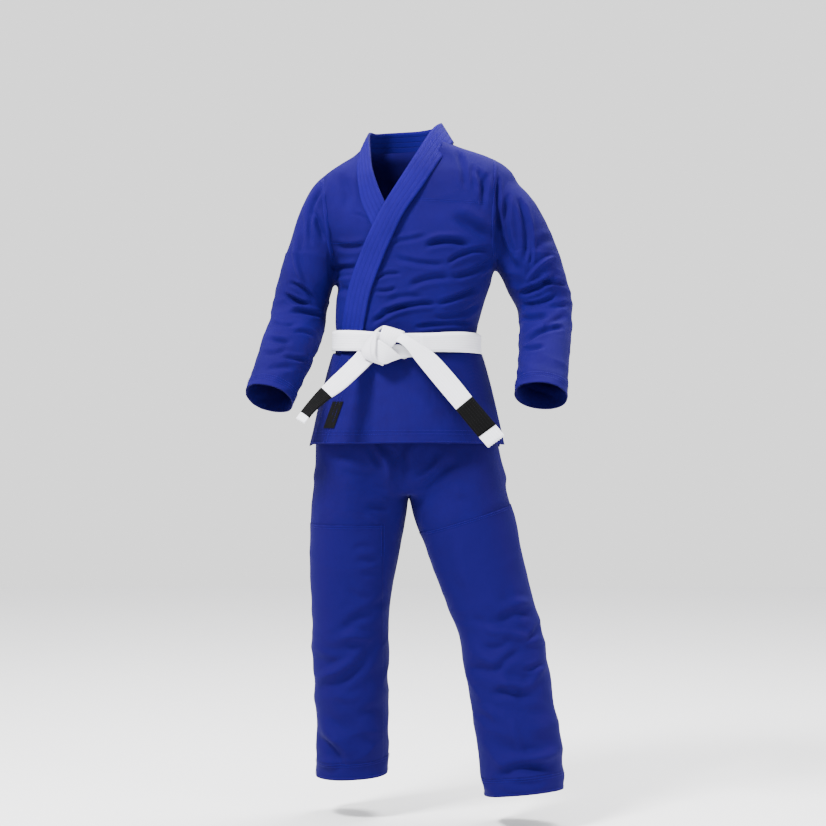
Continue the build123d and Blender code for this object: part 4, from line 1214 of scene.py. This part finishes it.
def metalMaterial():
    material = bpy.data.materials.new("eyeletMetal")
    material.use_nodes = True
    tree = material.node_tree
    shader = tree.nodes["Principled BSDF"]
    shader.inputs["Metallic"].default_value = 1.0
    shader.inputs["Base Color"].default_value = (0.5, 0.5, 0.52, 1)
    place = tree.nodes.new("ShaderNodeTexCoord")
    scratches = tree.nodes.new("ShaderNodeTexNoise")
    scratches.inputs["Scale"].default_value = 700
    tree.links.new(place.outputs["Object"], scratches.inputs["Vector"])
    tree.links.new(mathNode(tree, "MULTIPLY_ADD", scratches.outputs["Fac"], 0.3, 0.15),
        shader.inputs["Roughness"])
    return material


materials["eyeletMetal"] = metalMaterial()
print("materials made")


# ---- stitches by geometry nodes

def stitchTree():
    tree = bpy.data.node_groups.new("stitchRow", "GeometryNodeTree")
    for label, kind, value in (
        ("Geometry", "NodeSocketGeometry", None), ("Spacing", "NodeSocketFloat", 0.004),
        ("Length", "NodeSocketFloat", 0.003),
        ("Thread", "NodeSocketFloat", 0.0006), ("Material", "NodeSocketMaterial", None),
    ):
        socket = tree.interface.new_socket(label, in_out="INPUT", socket_type=kind)
        if value is not None:
            socket.default_value = value
    tree.interface.new_socket("Geometry", in_out="OUTPUT", socket_type="NodeSocketGeometry")
    add, link = tree.nodes.new, tree.links.new
    into, out = add("NodeGroupInput"), add("NodeGroupOutput")
    curve = add("GeometryNodeMeshToCurve")
    link(into.outputs["Geometry"], curve.inputs["Mesh"])
    points = add("GeometryNodeCurveToPoints")
    points.mode = "LENGTH"
    link(curve.outputs["Curve"], points.inputs["Curve"])
    link(into.outputs["Spacing"], points.inputs["Length"])
    facing = add("GeometryNodeInputNamedAttribute")
    facing.data_type = "FLOAT_VECTOR"
    facing.inputs["Name"].default_value = "facing"
    turnAlong = add("FunctionNodeAlignEulerToVector")
    turnAlong.axis = "X"
    link(points.outputs["Tangent"], turnAlong.inputs["Vector"])
    turnOut = add("FunctionNodeAlignEulerToVector")
    turnOut.axis = "Z"
    turnOut.pivot_axis = "X"
    link(turnAlong.outputs["Rotation"], turnOut.inputs["Rotation"])
    link(facing.outputs["Attribute"], turnOut.inputs["Vector"])
    stitch = add("GeometryNodeMeshIcoSphere")
    stitch.inputs["Radius"].default_value = 0.5
    stitch.inputs["Subdivisions"].default_value = 1
    size = add("ShaderNodeCombineXYZ")
    link(into.outputs["Length"], size.inputs["X"])
    link(into.outputs["Thread"], size.inputs["Y"])
    link(into.outputs["Thread"], size.inputs["Z"])
    place = add("GeometryNodeInstanceOnPoints")
    link(points.outputs["Points"], place.inputs["Points"])
    link(stitch.outputs["Mesh"], place.inputs["Instance"])
    link(turnOut.outputs["Rotation"], place.inputs["Rotation"])
    link(size.outputs["Vector"], place.inputs["Scale"])
    real = add("GeometryNodeRealizeInstances")
    link(place.outputs["Instances"], real.inputs["Geometry"])
    finish = add("GeometryNodeSetMaterial")
    link(real.outputs["Geometry"], finish.inputs["Geometry"])
    link(into.outputs["Material"], finish.inputs["Material"])
    link(finish.outputs["Geometry"], out.inputs["Geometry"])
    return tree


stitchGroup = stitchTree()
threads = {
    "blue": {"Spacing": 0.0042, "Length": 0.0034, "Thread": 0.0008, "Material": materials["blueThread"]},
    "white": {"Spacing": 0.0046, "Length": 0.0036, "Thread": 0.0007, "Material": materials["whiteThread"]},
    "black": {"Spacing": 0.0046, "Length": 0.0036, "Thread": 0.0007, "Material": materials["blackThread"]},
}


def sewn(name, rows, thread):
    # all of one body's rows in one thread, as one plain mesh
    verts, edges, facings = [], [], []
    for points, normals in rows:
        if len(points) < 2:
            continue
        start = len(verts)
        verts += [tuple(p * mm) for p in points]
        facings += [tuple(n) for n in normals]
        for i in range(len(points) - 1):
            if np.linalg.norm(points[i + 1] - points[i]) < 25:
                edges.append((start + i, start + i + 1))
    mesh = bpy.data.meshes.new(name)
    mesh.from_pydata(verts, edges, [])
    mesh.attributes.new("facing", "FLOAT_VECTOR", "POINT").data.foreach_set("vector",
        np.array(facings).ravel())
    piece = newPiece(name, mesh)
    modifier = piece.modifiers.new("stitches", "NODES")
    modifier.node_group = stitchGroup
    for item in stitchGroup.interface.items_tree:
        if item.item_type == "SOCKET" and item.in_out == "INPUT" and item.name in threads[thread]:
            modifier[item.identifier] = threads[thread][item.name]
    applied(piece)
    return smoothShade(piece)


stitched = {}
for (body, thread), rows in stitchRows.items():
    name = "".join(part.capitalize() for part in body.split("_"))
    stitched[(body, thread)] = sewn(f"{thread}Stitches{name}", rows, thread)
print("stitches made,", sum(len(p.data.polygons) for p in stitched.values()), "faces")


# ---- pieces, the bodies they move with and what they stand for

def dress(piece, material):
    piece.data.materials.clear()
    piece.data.materials.append(material)
    for polygon in piece.data.polygons:
        polygon.material_index = 0
    return piece


marked(jacketSkin)
marked(trouserSkin)


def sleevePart(c):
    for side in ("left", "right"):
        if inSleeve(c, side):
            return side, downArm(c, arms[side]) > elbowSplit
    return None, False


def legPart(c):
    side = "left" if c.x > crotchX else "right"
    leg = legs[side]
    if pastHip(c, leg["sign"]) < hipSplit:
        return None, False
    return side, aboveKnee(c, leg) < kneeSplit


def cutFrom(skin, name, test):
    return wholeNormals(withCloth(keepFaces(skin, name, test), 1.8))


jacketBody = cutFrom(jacketSkin, "jacketBody", lambda c: sleevePart(c)[0] is None)
trouserSeat = cutFrom(trouserSkin, "trouserSeat", lambda c: legPart(c)[0] is None)
moving = {}
for side in ("left", "right"):
    for label, skin, partOf, lower in (
        ("UpperSleeve", jacketSkin, sleevePart, False), ("ForearmSleeve", jacketSkin, sleevePart, True),
        ("TrouserThigh", trouserSkin, legPart, False), ("TrouserShin", trouserSkin, legPart, True),
    ):
        moving[side + label] = cutFrom(skin, side + label, lambda c: partOf(c) == (side, lower))
bpy.data.objects.remove(jacketSkin)
bpy.data.objects.remove(trouserSkin)
for panel in (overSkirt, underSkirt, backSkirt):
    withCloth(panel, skirt["cloth"])
    smoothShade(panel)


skirtStart, skirtEnd = (0, 0, -0.455), (0, 0, -0.52)
frontBend, backBend = (("torso", body, skirtStart, skirtEnd) for body in ("front_skirt", "back_skirt"))
rowBends = {"front_skirt": frontBend, "back_skirt": backBend}  # rows of stitches on cloth that bends, with the bend given for each; these rows are left unattached
# the piece, its material, its slot, the body it rides on or how it bends, and the CAD nodes it stands for
joining = [
    (jacketBody, "jacketCotton", "jacket_cloth", "torso",
     ["back_panel", "left_front_panel", "right_front_panel", "left_shoulder_lining",
         "right_shoulder_lining"]),
    (lapelBand, "lapelTwill", "lapel_cloth", "torso",
     ["left_lapel", "right_lapel", "left_lapel_core", "right_lapel_core", "neck_collar", "collar_core"]),
    (beltInner, "beltCotton", "belt_white", "torso", ["belt_inner_turn"]),
    (beltOuter, "beltCotton", "belt_white", "torso", ["belt_outer_turn"]),
    (tailPieces["left"], "beltCotton", "belt_white", "left_belt_end", ["left_tail"]),
    (tailPieces["leftBar"], "barCotton", "belt_black", "left_belt_end", ["left_rank_bar"]),
    (tailPieces["right"], "beltCotton", "belt_white", "right_belt_end", ["right_tail"]),
    (tailPieces["rightBar"], "barCotton", "belt_black", "right_belt_end", ["right_rank_bar"]),
    (knotPieces[0], "beltCotton", "belt_white", "torso", ["belt_knot"]),
    *[(piece, "beltCotton", "belt_white", "torso", []) for piece in knotPieces[1:]],
    *[(tape, "jacketCotton", "jacket_cloth", "torso", []) for tape in tapes],
    (trouserSeat, "trouserTwill", "trouser_cloth", "torso", ["seat_front", "seat_back", "crotch_gusset"]),
    (overSkirt, "trimCotton", "jacket_cloth", frontBend,
        ["left_front_skirt", "skirt_lapel", "front_skirt_hem"]),
    (underSkirt, "trimCotton", "jacket_cloth", frontBend, ["right_front_skirt"]),
    (backSkirt, "trimCotton", "jacket_cloth", backBend, ["back_skirt", "back_skirt_hem"]),
]
for side in ("left", "right"):
    arm, leg = arms[side], legs[side]
    out = Vector((arm["out"][0], 0, arm["out"][1]))
    hole = Vector((arm["hole"][0], 0, arm["hole"][1]))
    bendShoulder = ("torso", f"{side}_upper_arm", hole * mm, (hole + out * arm["follow"]) * mm)
    elbow, upper = Vector(arm["elbow"]), Vector(arm["way"]) * elbowBlend
    elbow.y = 0
    bendElbow = (f"{side}_upper_arm", f"{side}_forearm", (elbow - upper) * mm, (elbow + upper) * mm)
    hip, crotch = Vector((hipWay[0] * leg["sign"], 0, hipWay[1])), Vector((crotchX, 0, 0))
    hipStart, hipEnd = (crotch + hip * (reach - hipWay[0] * crotchX) for reach in hipBlend)
    bendHip = ("torso", f"{side}_thigh", hipStart * mm, hipEnd * mm)
    knee, thigh = Vector(leg["knee"]), Vector(leg["thigh"]) * kneeBlend
    bendKnee = (f"{side}_thigh", f"{side}_shin", (knee - thigh) * mm, (knee + thigh) * mm)
    rowBends[f"{side}_thigh"] = bendKnee
    joining += [
        (moving[f"{side}UpperSleeve"], "jacketCotton", "jacket_cloth", bendShoulder,
         [f"{side}_sleeve_head", f"{side}_upper_sleeve"]),
        (moving[f"{side}ForearmSleeve"], "jacketCotton", "jacket_cloth", bendElbow,
         [f"{side}_elbow_fold", f"{side}_forearm_sleeve"]),
        (trims[f"{side}CuffBand"], "jacketCotton", "jacket_cloth", f"{side}_forearm", [f"{side}_cuff_band"]),
        (moving[f"{side}TrouserThigh"], "trouserTwill", "trouser_cloth", bendHip,
         [f"{side}_seat_fold", f"{side}_thigh_front", f"{side}_thigh_back"]),
        (moving[f"{side}TrouserShin"], "trouserTwill", "trouser_cloth", bendKnee,
         [f"{side}_knee_fold", f"{side}_shin_front", f"{side}_shin_back"]),
        (trims[f"{side}HemBand"], "trouserTwill", "trouser_cloth", f"{side}_shin", [f"{side}_hem_band"]),
        (trims[f"{side}KneePatch"], "trouserTwill", "trouser_cloth", bendKnee,
         [f"{side}_knee_patch", f"{side}_shin_patch"]),
    ]
for piece, material, slot, moves, nodes in joining:
    dress(piece, materials[material])
    if isinstance(moves, str):
        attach(piece, moves)
    else:
        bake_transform(piece)
    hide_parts(*nodes)
for (body, colour), piece in stitched.items():
    if body in rowBends:
        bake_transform(piece)
    else:
        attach(piece, body)

# the CAD's own waistband, eyelets, loops and label stay, with procedural materials
for node, material in {
    "waistband": "trouserTwill", "waist_eyelets": "eyeletMetal", "cord_loops": "trimCotton",
    "skirt_label": "barCotton",
}.items():
    piece = bpy.data.objects.get(node)
    if piece is not None:
        piece.data.materials.clear()
        piece.data.materials.append(materials[material])
print("pieces joined to the frame")


# ---- the cloth, as cut before it was worn
flats = [
    # the piece, its width and length in metres, its area where the cut isn't a rectangle,
    # how it is held and what is sewn on it
    (jacketBody, (1.24, 0.47), 0.45, "hung", tapes), (lapelBand, (0.052, 1.2), None, "folded", []),
    (overSkirt, (0.48, 0.2), None, "hung", []), (underSkirt, (0.38, 0.2), None, "hung", []),
    (backSkirt, (0.55, 0.2), None, "hung", []), (trouserSeat, (1.0, 0.33), None, "hung", []),
    (beltInner, (0.042, 0.94), None, "folded", []), (beltOuter, (0.042, 0.96), None, "folded", []),
    (tailPieces["left"], (0.042, 0.34), None, "hung", [tailPieces["leftBar"]]),
    (tailPieces["right"], (0.042, 0.26), None, "hung", [tailPieces["rightBar"]]),
]
for side in ("left", "right"):
    flats += [
        (moving[f"{side}UpperSleeve"], (0.48, 0.2), 0.085, "hung", []),
        (moving[f"{side}ForearmSleeve"], (0.42, 0.28), None, "hung", [trims[f"{side}CuffBand"]]),
        (moving[f"{side}TrouserThigh"], (0.58, 0.24), None, "hung", []),
        (moving[f"{side}TrouserShin"], (0.54, 0.52), None, "hung",
            [trims[f"{side}KneePatch"], trims[f"{side}HemBand"]]),
    ]


# ---- floor, light and camera

# metres and watts
studio = {
    "floor": (0.8, 0.8, 0.81), "floorHeight": -1.486, "floorReach": 6, "sky": (1, 1, 1), "world": 1.6,
    "aim": (0, 0, -0.7),
    "lights": [
        ("keyLight", (-1.9, -2.0, 2.6), 0.9, 560), ("fillLight", (3.0, -2.6, 0.2), 1.6, 80),
        ("topLight", (0.9, 0.9, 2.4), 1.4, 260),
    ],
    "eye": (0.018, -4.5, -0.584), "view": 1.834, "film": 36,
}
reach = studio["floorReach"]
corners = [(x * reach, y * reach, studio["floorHeight"]) for x, y in ((-1, -1), (1, -1), (1, 1), (-1, 1))]
floor = newPiece("floor", meshFrom("floor", corners, [(0, 1, 2, 3)]))
floorMaterial = bpy.data.materials.new("floorPaint")
floorMaterial.use_nodes = True
floorShader = floorMaterial.node_tree.nodes["Principled BSDF"]
floorShader.inputs["Base Color"].default_value = (*studio["floor"], 1)
floorShader.inputs["Roughness"].default_value = 0.7
floor.data.materials.append(floorMaterial)
world = bpy.data.worlds.new("studio")
world.use_nodes = True
background = world.node_tree.nodes["Background"]
background.inputs["Color"].default_value = (*studio["sky"], 1)
background.inputs["Strength"].default_value = studio["world"]
bpy.context.scene.world = world
for name, place, size, power in studio["lights"]:
    data = bpy.data.lights.new(name, "AREA")
    data.size = size
    data.energy = power
    lamp = bpy.data.objects.new(name, data)
    bpy.context.scene.collection.objects.link(lamp)
    lamp.location = place
    lamp.rotation_euler = (Vector(studio["aim"]) - Vector(place)).to_track_quat("-Z", "Y").to_euler()
cameraData = bpy.data.cameras.new("camera")
cameraData.lens = studio["film"] * -studio["eye"][1] / studio["view"]
cameraData.clip_end = 30
camera = bpy.data.objects.new("camera", cameraData)
bpy.context.scene.collection.objects.link(camera)
camera.location = studio["eye"]
camera.rotation_euler = (radians(90), 0, 0)
bpy.context.scene.camera = camera
